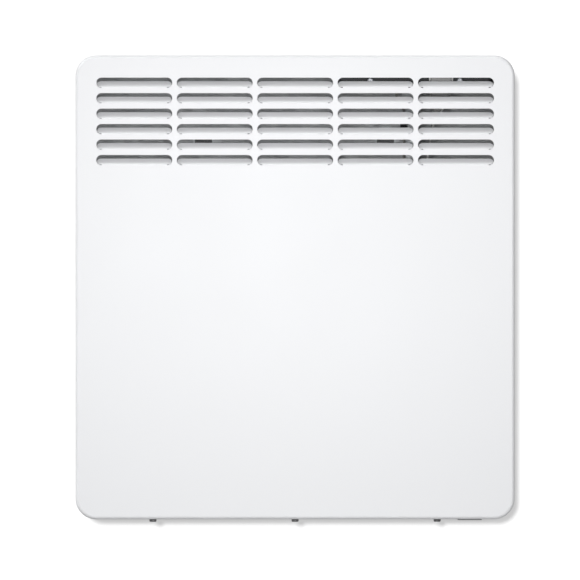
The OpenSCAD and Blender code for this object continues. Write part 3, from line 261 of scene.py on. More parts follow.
spangle, given, result = new_group(
    "zinc_spangle", {"Crystals per metre": 110.0, "Contrast": 0.5}, ["Tone", "Dullness", "Height"])
place = place_in(spangle)
drift = put(spangle, "TexNoise", Vector=place, Scale=60.0, Detail=3.0)
shift = put(spangle, "VectorMath", {"operation": "MULTIPLY_ADD"})
spangle.links.new(drift.outputs["Color"], shift.inputs[0])
shift.inputs[1].default_value = (0.006, 0.006, 0.006)
spangle.links.new(place, shift.inputs[2])
crystal = put(spangle, "TexVoronoi", Vector=shift.outputs[0], Scale=given["Crystals per metre"])
facet = put(spangle, "SeparateColor", Color=crystal.outputs["Color"])
off_middle = figure(spangle, "SUBTRACT", facet.outputs[0], 0.5)
tone = figure(spangle, "MULTIPLY_ADD", off_middle, given["Contrast"], 0.5)
haze = put(spangle, "TexNoise", Vector=place, Scale=900.0, Detail=2.0)
off_haze = figure(spangle, "SUBTRACT", haze.outputs[0], 0.5)
spangle.links.new(figure(spangle, "MULTIPLY_ADD", off_haze, 0.4, tone), result["Tone"])
spangle.links.new(facet.outputs[1], result["Dullness"])
spangle.links.new(crystal.outputs["Distance"], result["Height"])

wear, given, result = new_group("edge_wear", {"Reach": 12.0, "Patchiness": 0.5}, ["Edge", "Dust"])
surface = put(wear, "NewGeometry").outputs
eased = put(wear, "VectorMath", {"operation": "DOT_PRODUCT"})
wear.links.new(put(wear, "Bevel", {"samples": 4}, Radius=0.0004).outputs[0], eased.inputs[0])
wear.links.new(surface["Normal"], eased.inputs[1])
sharp = figure(wear, "MULTIPLY", figure(wear, "SUBTRACT", 0.98, eased.outputs["Value"]), given["Reach"])
patches = put(wear, "TexNoise", Vector=place_in(wear), Scale=70.0, Detail=4.0)
broken = figure(wear, "MULTIPLY_ADD", figure(wear, "SUBTRACT", patches.outputs[0], 0.5),
                given["Patchiness"], sharp)
wear.links.new(figure(wear, "MULTIPLY", broken, 1.0, clamp=True), result["Edge"])
facing = put(wear, "SeparateXYZ", Vector=surface["Normal"])
wear.links.new(figure(wear, "MULTIPLY", facing.outputs["Z"], patches.outputs[0], clamp=True),
               result["Dust"])


def galvanised(name, dark, light, crystals, contrast, metal=0.85):
    """Hot-dipped sheet: crystals that differ in tone and in polish, dusty where it faces up."""
    made, tree, shader = finish_of(name, light, 0.5, metal)
    zinc = use_group(tree, spangle, Crystals_per_metre=crystals, Contrast=contrast)
    used = use_group(tree, wear, Reach=9.0, Patchiness=0.4)
    plain = tint(tree, zinc["Tone"], dark, light)
    bare = tint(tree, spread(tree, used["Edge"], 0.0, 0.5), plain, (0.78, 0.79, 0.80))
    dusty = tint(tree, spread(tree, used["Dust"], 0.0, 0.55), bare, (0.60, 0.59, 0.57))
    feed(tree, shader, Base_Color=dusty, Metallic=spread(tree, used["Dust"], metal, 0.5 * metal),
         Roughness=spread(tree, zinc["Dullness"], 0.42, 0.60))
    relief(tree, shader, zinc["Height"], 0.12, 0.0004)
    return made


bracket_zinc = galvanised("bracket_zinc", (0.44, 0.46, 0.48), (0.66, 0.68, 0.69), 110.0, 0.6)
dress(bracket_zinc, "wall_bracket")


# Weld beads: short rippled fillets that join the crossbars to the rails, left as welded, with the
# blue and brown tint of the heat round them.
def loft(mesh, outline, levels, place):
    """Closed skin through scaled copies of an outline at several heights; place is in millimetres."""
    rings = []
    for height, size in levels:
        rings.append([mesh.verts.new(place @ Vector((x * size, y * size, height)) * 0.001)
                      for x, y in outline])
    count = len(outline)
    for lower, upper in zip(rings, rings[1:]):
        for k in range(count):
            mesh.faces.new((lower[k], lower[(k + 1) % count], upper[(k + 1) % count], upper[k]))
    mesh.faces.new(rings[0][::-1])
    mesh.faces.new(rings[-1])


def new_piece(name, mesh, material, body="casing"):
    """Finishes a mesh as a piece that rides on a body."""
    bmesh.ops.recalc_face_normals(mesh, faces=mesh.faces)
    data = bpy.data.meshes.new(name)
    mesh.to_mesh(data)
    mesh.free()
    data.shade_smooth()
    data.set_sharp_from_angle(angle=math.radians(38))
    data.materials.append(material)
    made = bpy.data.objects.new(name, data)
    bpy.context.scene.collection.objects.link(made)
    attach(made, body)


def disc(radius, steps=20):
    """Outline of a circle."""
    return [(radius * math.cos(2 * math.pi * k / steps), radius * math.sin(2 * math.pi * k / steps))
            for k in range(steps)]


rail_inside, crossbar_up, crossbar_face, sunk = 74.0, 110.0, -1.5, 0.3
ripple = [(k * 0.5, 1.0 - 0.12 * (k % 2)) for k in range(-6, 7)]
bead = [(-3.6, 0.3), (-3.4, 0.7)] + ripple + [(3.4, 0.7), (3.6, 0.3)]
mesh = bmesh.new()
for side in (-1, 1):
    for level in (-1, 1):
        for along in (-10, 0, 10):
            spot = (side * (rail_inside - sunk), crossbar_face - sunk, level * crossbar_up + along)
            loft(mesh, disc(1.3, 14), bead, Matrix.Translation(spot))
weld, tree, shader = finish_of("weld_metal", (0.40, 0.40, 0.41), 0.45, 0.9)
scale_marks = put(tree, "TexNoise", Vector=place_in(tree), Scale=700.0, Detail=4.0)
scorched = tint(tree, spread(tree, scale_marks.outputs[0], 0.0, 1.0, 0.4, 0.65), (0.42, 0.42, 0.43),
                (0.20, 0.17, 0.19))
feed(tree, shader, Base_Color=scorched, Roughness=spread(tree, scale_marks.outputs[0], 0.3, 0.65))
relief(tree, shader, scale_marks.outputs[0], 0.3, 0.0003)
new_piece("weld_beads", mesh, weld, "wall_bracket")

# Rear panel: a shallow tray of 1 mm galvanised sheet with four hook slots. It nests in the front
# panel, and the inner pieces are screwed to it.
panel_zinc = galvanised("panel_zinc", (0.47, 0.48, 0.49), (0.56, 0.57, 0.58), 95.0, 0.35, 0.25)
dress(panel_zinc, "rear_panel")

# Intake grille, partition and end bracket: folded from a galvanised sheet that is brighter than the
# rear panel's and has finer crystals.
folded_zinc = galvanised("folded_zinc", (0.50, 0.52, 0.54), (0.66, 0.68, 0.69), 160.0, 0.45, 0.7)
dress(folded_zinc, "intake_grille", "partition", "heater_end_bracket")


# Panel screws: pan heads with a cross recess, zinc-plated and blue-passivated, driven from inside.
# The plating is bright where they have been rubbed; the control unit's screws are duller.
def plated_screw(name, plain, rubbed, metal, rough):
    """Coated steel whose coat is thin on the edges and patchy in tone."""
    made, tree, shader = finish_of(name, plain, rough, metal)
    used = use_group(tree, wear, Reach=14.0, Patchiness=0.7)
    stain = put(tree, "TexNoise", Vector=place_in(tree), Scale=500.0, Detail=3.0)
    patchy = tint(tree, stain.outputs[0], [0.8 * c for c in plain], plain)
    feed(tree, shader, Base_Color=tint(tree, used["Edge"], patchy, rubbed),
         Roughness=spread(tree, stain.outputs[0], rough - 0.08, rough + 0.1))
    relief(tree, shader, stain.outputs[0], 0.1, 0.0002)
    return made


zinc_screw = plated_screw("zinc_screw", (0.66, 0.68, 0.71), (0.86, 0.87, 0.88), 0.95, 0.30)
dress(zinc_screw, "panel_screws")
dress(plated_screw("dull_screw", (0.30, 0.31, 0.33), (0.50, 0.51, 0.52), 0.85, 0.48), "control_screws")

# Heat shield: bright rolled aluminium that turns the element's heat away from the rear panel. The
# rolls leave fine streaks along the sheet. The limiter's flat clamp has the same finish.
streaks, given, result = new_group(
    "rolled_streaks", {"X per metre": 30.0, "Y per metre": 900.0, "Z per metre": 900.0}, ["Streak"])
stretch = put(streaks, "CombineXYZ", X=given["X per metre"], Y=given["Y per metre"], Z=given["Z per metre"])
drawn = put(streaks, "VectorMath", {"operation": "MULTIPLY"})
streaks.links.new(place_in(streaks), drawn.inputs[0])
streaks.links.new(stretch.outputs[0], drawn.inputs[1])
lines = put(streaks, "TexNoise", Vector=drawn.outputs[0], Scale=1.0, Detail=4.0, Roughness=0.6)
streaks.links.new(lines.outputs[0], result["Streak"])


def rolled(name, dark, light, rough, metal=0.95, **directions):
    """Rolled or drawn metal with fine streaks and dulled, dusty upper faces."""
    made, tree, shader = finish_of(name, light, rough, metal)
    roll = use_group(tree, streaks, **directions)
    used = use_group(tree, wear, Reach=8.0, Patchiness=0.3)
    plain = tint(tree, roll["Streak"], dark, light)
    feed(tree, shader,
         Base_Color=tint(tree, spread(tree, used["Dust"], 0.0, 0.4), plain, (0.58, 0.57, 0.55)),
         Roughness=spread(tree, roll["Streak"], rough - 0.1, rough + 0.12))
    relief(tree, shader, roll["Streak"], 0.08, 0.0003)
    return made


bright_sheet = rolled("bright_sheet", (0.74, 0.75, 0.77), (0.86, 0.87, 0.88), 0.26)
dress(bright_sheet, "heat_shield", "limiter_clamp")

# Fins: notched plates of thin aluminium with a drawn collar round each leg of the tube, pressed on
# one by one. Heat has dulled them.
fin_sheet = rolled("fin_sheet", (0.62, 0.63, 0.64), (0.78, 0.79, 0.80), 0.36, 0.92,
                   X_per_metre=900.0, Y_per_metre=40.0, Z_per_metre=700.0)
dress(fin_sheet, "heater_fins")

# Tube: one hairpin of drawn stainless steel. Running hot has tinted it straw and blue in bands, over
# the fine lines of the drawing.
tinted_steel, tree, shader = finish_of("tinted_steel", (0.45, 0.45, 0.46), 0.32, 1.0)
drawn_lines = use_group(tree, streaks, X_per_metre=40.0)
bands = put(tree, "TexNoise", Vector=place_in(tree), Scale=22.0, Detail=2.0)
warm = spread(tree, bands.outputs[0], 0.0, 1.0, 0.40, 0.60)
straw = tint(tree, warm, (0.50, 0.50, 0.50), (0.48, 0.38, 0.24))
hot = spread(tree, bands.outputs[0], 0.0, 1.0, 0.58, 0.70)
blue = tint(tree, hot, straw, (0.26, 0.27, 0.38))
feed(tree, shader, Base_Color=blue, Roughness=spread(tree, drawn_lines["Streak"], 0.24, 0.42))
relief(tree, shader, drawn_lines["Streak"], 0.1, 0.0002)
dress(tinted_steel, "heater_tube")

# Bushes and terminal insulators: pressed steatite, fired with a thin cream glaze that carries the
# odd dark speck. The bushes snap into the sheet and the insulators are cemented into the tube.
grain, given, result = new_group(
    "fine_grain", {"Grains per metre": 1500.0, "Waves per metre": 260.0}, ["Height", "Tone", "Speck"])
place = place_in(grain)
fine = put(grain, "TexNoise", Vector=place, Scale=given["Grains per metre"], Detail=2.0, Roughness=0.6)
soft = put(grain, "TexNoise", Vector=place, Scale=given["Waves per metre"], Detail=1.0)
grain.links.new(figure(grain, "ADD", fine.outputs[0], soft.outputs[0]), result["Height"])
cloud = put(grain, "TexNoise", Vector=place, Scale=9.0, Detail=2.0)
grain.links.new(cloud.outputs[0], result["Tone"])
dots = put(grain, "TexVoronoi", Vector=place, Scale=given["Waves per metre"])
grain.links.new(figure(grain, "LESS_THAN", dots.outputs["Distance"], 0.11), result["Speck"])

glazed, tree, shader = finish_of("glazed_steatite", (0.86, 0.83, 0.76), 0.25, Coat_Weight=0.5,
                                 Coat_Roughness=0.12)
clay = use_group(tree, grain, Grains_per_metre=900.0, Waves_per_metre=500.0)
cream = tint(tree, clay["Tone"], (0.82, 0.79, 0.71), (0.89, 0.87, 0.81))
feed(tree, shader, Base_Color=tint(tree, clay["Speck"], cream, (0.45, 0.38, 0.30)),
     Roughness=spread(tree, clay["Tone"], 0.18, 0.34))
relief(tree, shader, clay["Height"], 0.08, 0.0002)
dress(glazed, "heater_bushes", "heater_terminals")


# Limiter: a bimetal cut-out in a brown phenolic body with two brass blade tabs. A riveted clamp
# holds it to the partition, cap to the metal.
def axes_in(tree):
    """The place of a point of the surface as its X, Y and Z."""
    return put(tree, "SeparateXYZ", Vector=place_in(tree)).outputs


far_off = 9.0
no_limits = {f"{end} {axis}": limit for axis in "XYZ"
             for end, limit in (("Low", -far_off), ("High", far_off))}
box_zone, given, result = new_group("box_zone", no_limits, ["Inside"])
place = axes_in(box_zone)
inside = 1.0
for axis in "XYZ":
    past_low = figure(box_zone, "GREATER_THAN", place[axis], given["Low " + axis])
    below_high = figure(box_zone, "LESS_THAN", place[axis], given["High " + axis])
    inside = figure(box_zone, "MULTIPLY", figure(box_zone, "MULTIPLY", past_low, below_high), inside)
box_zone.links.new(inside, result["Inside"])


def zone(tree, **limits):
    """1 inside a box of the object given by its limits in metres, 0 outside it."""
    return use_group(tree, box_zone, **limits)["Inside"]


def moulded(tree, shader, dark, light, rough, coarse=1500.0):
    """Moulded plastic: a fine eroded texture, paler where it is rubbed and dusty on its upper faces."""
    skin = use_group(tree, grain, Grains_per_metre=coarse, Waves_per_metre=300.0)
    used = use_group(tree, wear, Reach=6.0, Patchiness=0.3)
    base = tint(tree, skin["Tone"], dark, light)
    rubbed = tint(tree, spread(tree, used["Edge"], 0.0, 0.3), base, [0.5 * c + 0.2 for c in light])
    rough_now = spread(tree, skin["Tone"], rough - 0.07, rough + 0.07)
    relief(tree, shader, skin["Height"], 0.12, 0.0002)
    return tint(tree, spread(tree, used["Dust"], 0.0, 0.12), rubbed, (0.42, 0.41, 0.39)), rough_now


def plastic_with_metal(name, dark, light, rough, metal_colour, **limits):
    """Moulded plastic that is bare metal inside the given limits."""
    made, tree, shader = finish_of(name, light, rough)
    colour, rough_now = moulded(tree, shader, dark, light, rough)
    roll = use_group(tree, streaks, X_per_metre=700.0)
    bare = zone(tree, **limits)
    bright = tint(tree, roll["Streak"], [0.85 * c for c in metal_colour], metal_colour)
    sheen = spread(tree, roll["Streak"], 0.25, 0.4)
    mixed = put(tree, "Mix", {"data_type": "FLOAT"})
    for socket, number in ((0, bare), (2, rough_now), (3, sheen)):
        tree.links.new(number, mixed.inputs[socket])
    feed(tree, shader, Base_Color=tint(tree, bare, colour, bright), Metallic=bare,
         Roughness=mixed.outputs[0])
    return made


tab_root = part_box("safety_limiter")[1].x - 0.011
brass = (0.80, 0.66, 0.36)
phenolic = plastic_with_metal("limiter_phenolic", (0.055, 0.036, 0.028), (0.08, 0.052, 0.04), 0.42, brass,
                              High_X=tab_root)
dress(phenolic, "safety_limiter")


# Leads: soft white insulation on the element's leads and on the sensor's. The limiter's pair is
# drawn through a woven glass-fibre sleeve.
def plastic(name, dark, light, rough, coarse=1500.0, **constants):
    """A finish that is moulded plastic all over."""
    made, tree, shader = finish_of(name, light, rough, **constants)
    colour, rough_now = moulded(tree, shader, dark, light, rough, coarse)
    feed(tree, shader, Base_Color=colour, Roughness=rough_now)
    return made


soft_white = plastic("lead_insulation", (0.74, 0.73, 0.70), (0.82, 0.81, 0.78), 0.50, 600.0,
                     Specular_IOR_Level=0.35)
dress(soft_white, "element_leads", "sensor_lead")

weave, given, result = new_group("weave", {"Threads per metre": 1400.0}, ["Thread"])
place = axes_in(weave)
across = figure(weave, "ADD", place["X"], place["Y"])
turns = []
for way in (1.0, -1.0):
    slant = figure(weave, "MULTIPLY_ADD", across, way, place["Z"])
    turns.append(figure(weave, "SINE", figure(weave, "MULTIPLY", slant, given["Threads per metre"])))
weave.links.new(figure(weave, "MULTIPLY_ADD", figure(weave, "MAXIMUM", *turns), 0.5, 0.5), result["Thread"])

glass_sleeve, tree, shader = finish_of("glass_fibre_sleeve", (0.46, 0.46, 0.45), 0.75)
cloth = use_group(tree, weave, Threads_per_metre=4200.0)
cloud = use_group(tree, grain)
# Painted shade: the sleeve is darker between the threads of the weave.
threads_and_painted_shade = tint(tree, cloth["Thread"], (0.26, 0.26, 0.25), (0.52, 0.52, 0.50))
feed(tree, shader,
     Base_Color=tint(tree, spread(tree, cloud["Tone"], 0.0, 0.5), threads_and_painted_shade, (0.40, 0.38, 0.34)),
     Roughness=spread(tree, cloth["Thread"], 0.85, 0.60))
relief(tree, shader, cloth["Thread"], 0.4, 0.0004)
dress(glass_sleeve, "limiter_leads")

# Switch leads: PVC-insulated single cores, brown for live and blue for neutral, from the terminal
# block down to the mains switch.
two_cores, tree, shader = finish_of("brown_and_blue_cores", (0.16, 0.075, 0.04), 0.42)
between_cores = sum(corner.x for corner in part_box("switch_housing")) / 2 - 0.0012
brown, brown_rough = moulded(tree, shader, (0.13, 0.06, 0.032), (0.19, 0.09, 0.05), 0.42, 700.0)
cloud = use_group(tree, grain)
blue = tint(tree, cloud["Tone"], (0.03, 0.10, 0.30), (0.05, 0.15, 0.40))
feed(tree, shader, Base_Color=tint(tree, zone(tree, Low_X=between_cores), brown, blue),
     Roughness=brown_rough)
dress(two_cores, "switch_leads")

# Dark mouldings: control housing and its fascia, power tray, cable clip and the bush for the mains
# cable, all in the same charcoal plastic. The housing and the fascia are drawn again without the
# paper-thin faces that their solids have at the round corners.
dark_plastic = plastic("dark_plastic", (0.030, 0.031, 0.033), (0.042, 0.043, 0.046), 0.62,
                       Specular_IOR_Level=0.3)
dress(dark_plastic, "control_housing", "control_fascia", "power_tray", "cable_clip", "cable_gland")
touching, speck, opposite = 1e-6, 2e-10, -0.99


def redraw(name, node):
    """Draws a CAD node's faces again, less the pairs that lie back to back at its round corners."""
    solid = cad[node].data
    tree = BVHTree.FromPolygons([point.co for point in solid.vertices],
                                [tuple(face.vertices) for face in solid.polygons])
    kept = []
    for face in solid.polygons:
        near = [solid.polygons[hit[2]] for hit in tree.find_nearest_range(face.center, touching)]
        backed = any(face.normal.dot(other.normal) < opposite and other.area > speck for other in near)
        if face.area > speck and not backed:
            kept.append(face)
    points = sorted({point for face in kept for point in face.vertices})
    new_number = {point: k for k, point in enumerate(points)}
    drawn = bpy.data.meshes.new(name)
    drawn.from_pydata([solid.vertices[point].co for point in points], [],
                      [[new_number[point] for point in face.vertices] for face in kept])
    drawn.normals_split_custom_set([solid.corner_normals[corner].vector
                                    for face in kept for corner in face.loop_indices])
    drawn.materials.append(solid.materials[0])
    piece = bpy.data.objects.new(name, drawn)
    bpy.context.scene.collection.objects.link(piece)
    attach(piece, "casing")
    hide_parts(node)


redraw("housing_moulding", "control_housing")
redraw("fascia_moulding", "control_fascia")

# Circuit boards: glass-epoxy laminate under green solder mask, with the tracks just showing and
# tinned pads. Each carries the white socket of the flat cable; the control board has black chips.
tracks, given, result = new_group("board_tracks", {"Rows per metre": 230.0}, ["Track", "Pad"])
place = place_in(tracks)
square_cells = put(tracks, "TexVoronoi", {"distance": "CHEBYCHEV"}, Vector=place,
                   Scale=given["Rows per metre"], Randomness=0.65)
tracks.links.new(spread(tracks, square_cells.outputs["Distance"], 0.0, 1.0, 0.36, 0.40), result["Track"])
holes = put(tracks, "TexVoronoi", Vector=place, Scale=given["Rows per metre"], Randomness=0.5)
tracks.links.new(figure(tracks, "LESS_THAN", holes.outputs["Distance"], 0.17), result["Pad"])


def board(name, sockets, chips=None):
    """Circuit board whose socket zone is white plastic and whose chip zone is black epoxy."""
    made, tree, shader = finish_of(name, (0.02, 0.14, 0.07), 0.3, Coat_Weight=0.3, Coat_Roughness=0.15)
    copper = use_group(tree, tracks)
    cloud = use_group(tree, grain)
    mask = tint(tree, cloud["Tone"], (0.012, 0.10, 0.05), (0.02, 0.13, 0.065))
    lined = tint(tree, copper["Track"], mask, (0.05, 0.24, 0.11))
    padded = tint(tree, copper["Pad"], lined, (0.66, 0.67, 0.68))
    white = tint(tree, cloud["Tone"], (0.76, 0.75, 0.71), (0.82, 0.81, 0.78))
    socket_zone = zone(tree, **sockets)
    colour = tint(tree, socket_zone, padded, white)
    bare_pad = figure(tree, "MULTIPLY", copper["Pad"], figure(tree, "SUBTRACT", 1.0, socket_zone))
    if chips:
        chip_zone = zone(tree, **chips)
        epoxy = tint(tree, cloud["Tone"], (0.018, 0.018, 0.02), (0.028, 0.028, 0.03))
        colour = tint(tree, chip_zone, colour, epoxy)
        bare_pad = figure(tree, "MULTIPLY", bare_pad, figure(tree, "SUBTRACT", 1.0, chip_zone))
    feed(tree, shader, Base_Color=colour, Metallic=bare_pad,
         Roughness=spread(tree, cloud["Tone"], 0.26, 0.44))
    relief(tree, shader, figure(tree, "ADD", copper["Track"], copper["Pad"]), 0.2, 0.0002)
    return made


board_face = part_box("relays")[1].y
dress(board("power_board_mask", {"High_Y": board_face - 0.0001}), "power_board")
under_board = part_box("button_switches")[0].z - 0.0017
ribbon_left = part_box("ribbon_cable")[0].x
dress(board("control_board_mask", {"High_Z": under_board, "Low_X": ribbon_left},
            {"High_Z": under_board, "High_X": ribbon_left}), "control_board")
redraw("control_circuit", "control_board")

# Flat cable: thin cores side by side in grey-white PVC, pushed into a socket at each end. The
# grooves between the cores run along it.
cores, given, result = new_group("cable_cores", {"Half pitch": 0.000635}, ["Core"])
sideways = axes_in(cores)["X"]
from_groove = figure(cores, "PINGPONG", sideways, given["Half pitch"])
cores.links.new(spread(cores, from_groove, 0.0, 1.0, 0.0, 0.00025), result["Core"])


def flat_cable(name, dark, light):
    """Ribbed insulation of a flat cable, darker in the grooves between its cores."""
    made, tree, shader = finish_of(name, light, 0.42)
    ribs = use_group(tree, cores)["Core"]
    cloud = use_group(tree, grain)
    skin = tint(tree, cloud["Tone"], dark, light)
    feed(tree, shader, Base_Color=tint(tree, ribs, [0.65 * c for c in dark], skin),
         Roughness=spread(tree, cloud["Tone"], 0.36, 0.5))
    relief(tree, shader, ribs, 0.4, 0.0003)
    return made


dress(flat_cable("flat_cable", (0.72, 0.72, 0.70), (0.80, 0.80, 0.78)), "ribbon_cable")

# Power relays: black cases that stand on the board, with one brass tab on top of each for the
# element's lead.
relay_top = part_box("relays")[0].y + 0.008
relay_case = plastic_with_metal("relay_case", (0.016, 0.018, 0.024), (0.026, 0.029, 0.038), 0.38, brass,
                                High_Y=relay_top)
dress(relay_case, "relays")

# Terminal block: three clamps moulded in pale grey-green thermoplastic, each with a slotted screw
# down its throat.
clamp_plastic = plastic("clamp_plastic", (0.60, 0.64, 0.58), (0.69, 0.72, 0.66), 0.45)
dress(clamp_plastic, "terminal_block")

# Interference suppressor: an amber box capacitor that stands on the board, and a choke of enamelled
# copper wound round a ring.
winding, tree, shader = finish_of("amber_and_copper", (0.60, 0.36, 0.06), 0.35)
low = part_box("suppressor")[0]
ring_r, windings = 0.0105, 44.0
ring = Vector((low.x + ring_r, 0, low.z + ring_r))
place = axes_in(tree)
turn = figure(tree, "ARCTAN2", figure(tree, "SUBTRACT", place["Z"], ring.z),
              figure(tree, "SUBTRACT", place["X"], ring.x))
round_wires = figure(tree, "SINE", figure(tree, "MULTIPLY", turn, windings))
turn_ridges_and_painted_shade = figure(tree, "MULTIPLY_ADD", round_wires, 0.5, 0.5)
on_ring = zone(tree, High_X=ring.x + 0.015)
cloud = use_group(tree, grain, Grains_per_metre=1200.0)
amber = tint(tree, cloud["Tone"], (0.62, 0.36, 0.05), (0.74, 0.47, 0.09))
# Painted light and shade: the copper is darker in the grooves between the turns and lighter along each
# turn's crest.
copper = tint(tree, turn_ridges_and_painted_shade, (0.22, 0.07, 0.025), (0.66, 0.28, 0.12))
feed(tree, shader, Base_Color=tint(tree, on_ring, amber, copper),
     Metallic=spread(tree, on_ring, 0.0, 0.7), Roughness=spread(tree, cloud["Tone"], 0.24, 0.42))
relief(tree, shader, figure(tree, "MULTIPLY", turn_ridges_and_painted_shade, on_ring), 0.5, 0.0005)
dress(winding, "suppressor")

# Small power supply: a transformer of stacked steel laminations with taped bobbin ends at its sides,
# and a reservoir capacitor in a black sleeve with a bare aluminium top.
supply, tree, shader = finish_of("laminations_and_sleeve", (0.30, 0.31, 0.33), 0.42)
low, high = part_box("power_supply")
half_sheet, joint_width = 0.00025, 0.00012
from_joint = figure(tree, "PINGPONG", axes_in(tree)["Y"], half_sheet)
sheets = spread(tree, from_joint, 0.0, 1.0, 0.0, joint_width)
cloud = use_group(tree, grain)
lamination = tint(tree, cloud["Tone"], (0.28, 0.27, 0.27), (0.42, 0.41, 0.41))
steel = tint(tree, sheets, (0.10, 0.10, 0.11), lamination)
tape = tint(tree, cloud["Tone"], (0.60, 0.48, 0.10), (0.70, 0.58, 0.16))
sleeve = tint(tree, cloud["Tone"], (0.02, 0.022, 0.03), (0.035, 0.038, 0.05))
bobbin_end, core_foot, can_side, can_face = 0.0009, 0.02, low.z + 0.0102, low.y + 0.0062
on_bobbin = figure(tree, "MAXIMUM", zone(tree, High_X=low.x + bobbin_end, Low_Z=core_foot),
                   zone(tree, Low_X=high.x - bobbin_end, Low_Z=core_foot))
on_can = zone(tree, High_Z=can_side)
can_top = zone(tree, High_Z=can_side, High_Y=can_face)
stripe = zone(tree, High_Z=low.z + 0.0035)
sleeved = tint(tree, stripe, sleeve, (0.55, 0.56, 0.58))
canned = tint(tree, can_top, sleeved, (0.75, 0.76, 0.77))
plain_steel = figure(tree, "SUBTRACT", 1.0, figure(tree, "MAXIMUM", on_can, on_bobbin))
bare_metal = figure(tree, "MAXIMUM", figure(tree, "MULTIPLY", plain_steel, 0.7), can_top)
feed(tree, shader, Base_Color=tint(tree, on_can, tint(tree, on_bobbin, steel, tape), canned),
     Metallic=bare_metal, Roughness=spread(tree, cloud["Tone"], 0.32, 0.5))
relief(tree, shader, figure(tree, "MULTIPLY", sheets, plain_steel), 0.4, 0.0003)
dress(supply, "power_supply")


# Clamp screws: slotted steel screws in the three throats of the terminal block. Each head is two
# halves with the slot between them.
def box_in_mm(node):
    """The lowest corner, the highest corner and the middle of a CAD node."""
    low, high = (corner * 1000 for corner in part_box(node))
    return low, high, (low + high) / 2


low, high, middle = box_in_mm("terminal_block")
upright = math.pi / 2
facing_out = Matrix.Rotation(upright, 4, "X")
clamp_pitch, head_r, half_cut, throat_y, throat_z = 10.0, 2.3, 0.4, low.y + 1.5, middle.z + 2
half_head = [(x, y) for x, y in disc(head_r, 40) if y > half_cut]
mesh = bmesh.new()
for k in (-1, 0, 1):
    spot = Matrix.Translation((middle.x + clamp_pitch * k, throat_y, throat_z)) @ facing_out
    loft(mesh, disc(head_r, 24), ((-0.2, 1), (0.5, 1)), spot)
    for half in (0, math.pi):
        loft(mesh, half_head, ((0.4, 1), (1.0, 1), (1.2, 0.94)), spot @ Matrix.Rotation(half, 4, "Z"))
new_piece("clamp_screws", mesh, zinc_screw)


# Receptacles: push-on sleeves of milky nylon over two tabs of the mains switch and over the tabs of
# the relays and the limiter, where the leads end.
def rounded(w, d, r, steps=5):
    """Outline of a rectangle with round corners, about its middle."""
    points = []
    for k, (sx, sy) in enumerate(((1, 1), (-1, 1), (-1, -1), (1, -1))):
        for n in range(steps + 1):
            turn = math.radians(90 * k + 90 * n / steps)
            points.append((sx * (w / 2 - r) + r * math.cos(turn), sy * (d / 2 - r) + r * math.sin(turn)))
    return points


milky = plastic("milky_nylon", (0.68, 0.68, 0.64), (0.77, 0.77, 0.74), 0.38, Subsurface_Weight=0.15,
                Subsurface_Scale=0.002)
nylon_form = rounded(4.4, 8.2, 1.2)
nylon_levels = ((0, 0.94), (0.4, 1), (7.8, 1), (8.5, 0.88), (9.6, 0.62))
half_tab_t, half_tab_w, relay_half_w, relay_tab_l, limiter_tab_l = 0.4, 3.15, 6.5, 7.8, 6.4
mesh = bmesh.new()
low, high, middle = box_in_mm("switch_tabs")
for x in (low.x + half_tab_t, high.x - half_tab_t):
    loft(mesh, nylon_form, nylon_levels, Matrix.Translation((x, high.y - half_tab_w, low.z + half_tab_t)))
low, high, middle = box_in_mm("relays")
for x in (low.x + relay_half_w, high.x - relay_half_w):
    loft(mesh, nylon_form, nylon_levels, Matrix.Translation((x, low.y + relay_tab_l, middle.z)) @ facing_out)
low, high, middle = box_in_mm("safety_limiter")
spot = Matrix.Translation((low.x + limiter_tab_l, middle.y, middle.z))
loft(mesh, rounded(8.6, 11.4, 1.4), ((0, 0.95), (0.5, 1), (7.4, 1), (8.2, 0.86)),
     spot @ Matrix.Rotation(-upright, 4, "Y"))
new_piece("tab_receptacles", mesh, milky)

# Board parts: a row of resistors that lie on bent tinned legs, and two disc capacitors that stand on
# theirs, on the free field of the power board beside the transformer.
field_x, field_z, field_y = 150.0, 24.0, board_face * 1000
along_board, into_board = Matrix.Rotation(upright, 4, "Y"), Matrix.Rotation(-upright, 4, "X")
half_barrel, barrel_up, row_pitch, leg, leg_out = 3.2, 1.7, 4.4, disc(0.3, 10), 4.5
barrel = ((-half_barrel, 0.6), (-3.0, 1), (-2.1, 1), (-1.7, 0.84), (1.7, 0.84), (2.1, 1), (3.0, 1),
          (half_barrel, 0.6))
mesh = bmesh.new()
for k in range(-2, 3):
    spot = Matrix.Translation((field_x, field_y - barrel_up, field_z + row_pitch * k))
    loft(mesh, disc(1.2), barrel, spot @ along_board)
    loft(mesh, leg, ((-4.7, 1), (4.7, 1)), spot @ along_board)
    for side in (-1, 1):
        bent = spot @ Matrix.Translation((leg_out * side, 0, 0)) @ into_board
        loft(mesh, leg, ((-0.3, 1), (1.75, 1)), bent)
resistor, tree, shader = finish_of("resistor_lacquer", (0.66, 0.56, 0.38), 0.4)
along, band_waves, band_step = axes_in(tree)["X"], 4800.0, 0.0013
on_body = zone(tree, Low_X=(field_x - half_barrel) / 1000, High_X=(field_x + half_barrel) / 1000)
waves = figure(tree, "SINE", figure(tree, "MULTIPLY", along, band_waves))
banded = figure(tree, "GREATER_THAN", waves, 0.45)
hue = put(tree, "TexWhiteNoise", Vector=figure(tree, "SNAP", along, band_step))
lacquer = use_group(tree, grain)
beige = tint(tree, lacquer["Tone"], (0.60, 0.50, 0.33), (0.68, 0.59, 0.42))
band_colour = tint(tree, hue.outputs["Value"], (0.30, 0.10, 0.04), (0.42, 0.05, 0.05))
feed(tree, shader,
     Base_Color=tint(tree, on_body, (0.72, 0.72, 0.73), tint(tree, banded, beige, band_colour)),
     Metallic=figure(tree, "SUBTRACT", 1.0, on_body),
     Roughness=spread(tree, lacquer["Tone"], 0.3, 0.5))
new_piece("board_resistors", mesh, resistor)

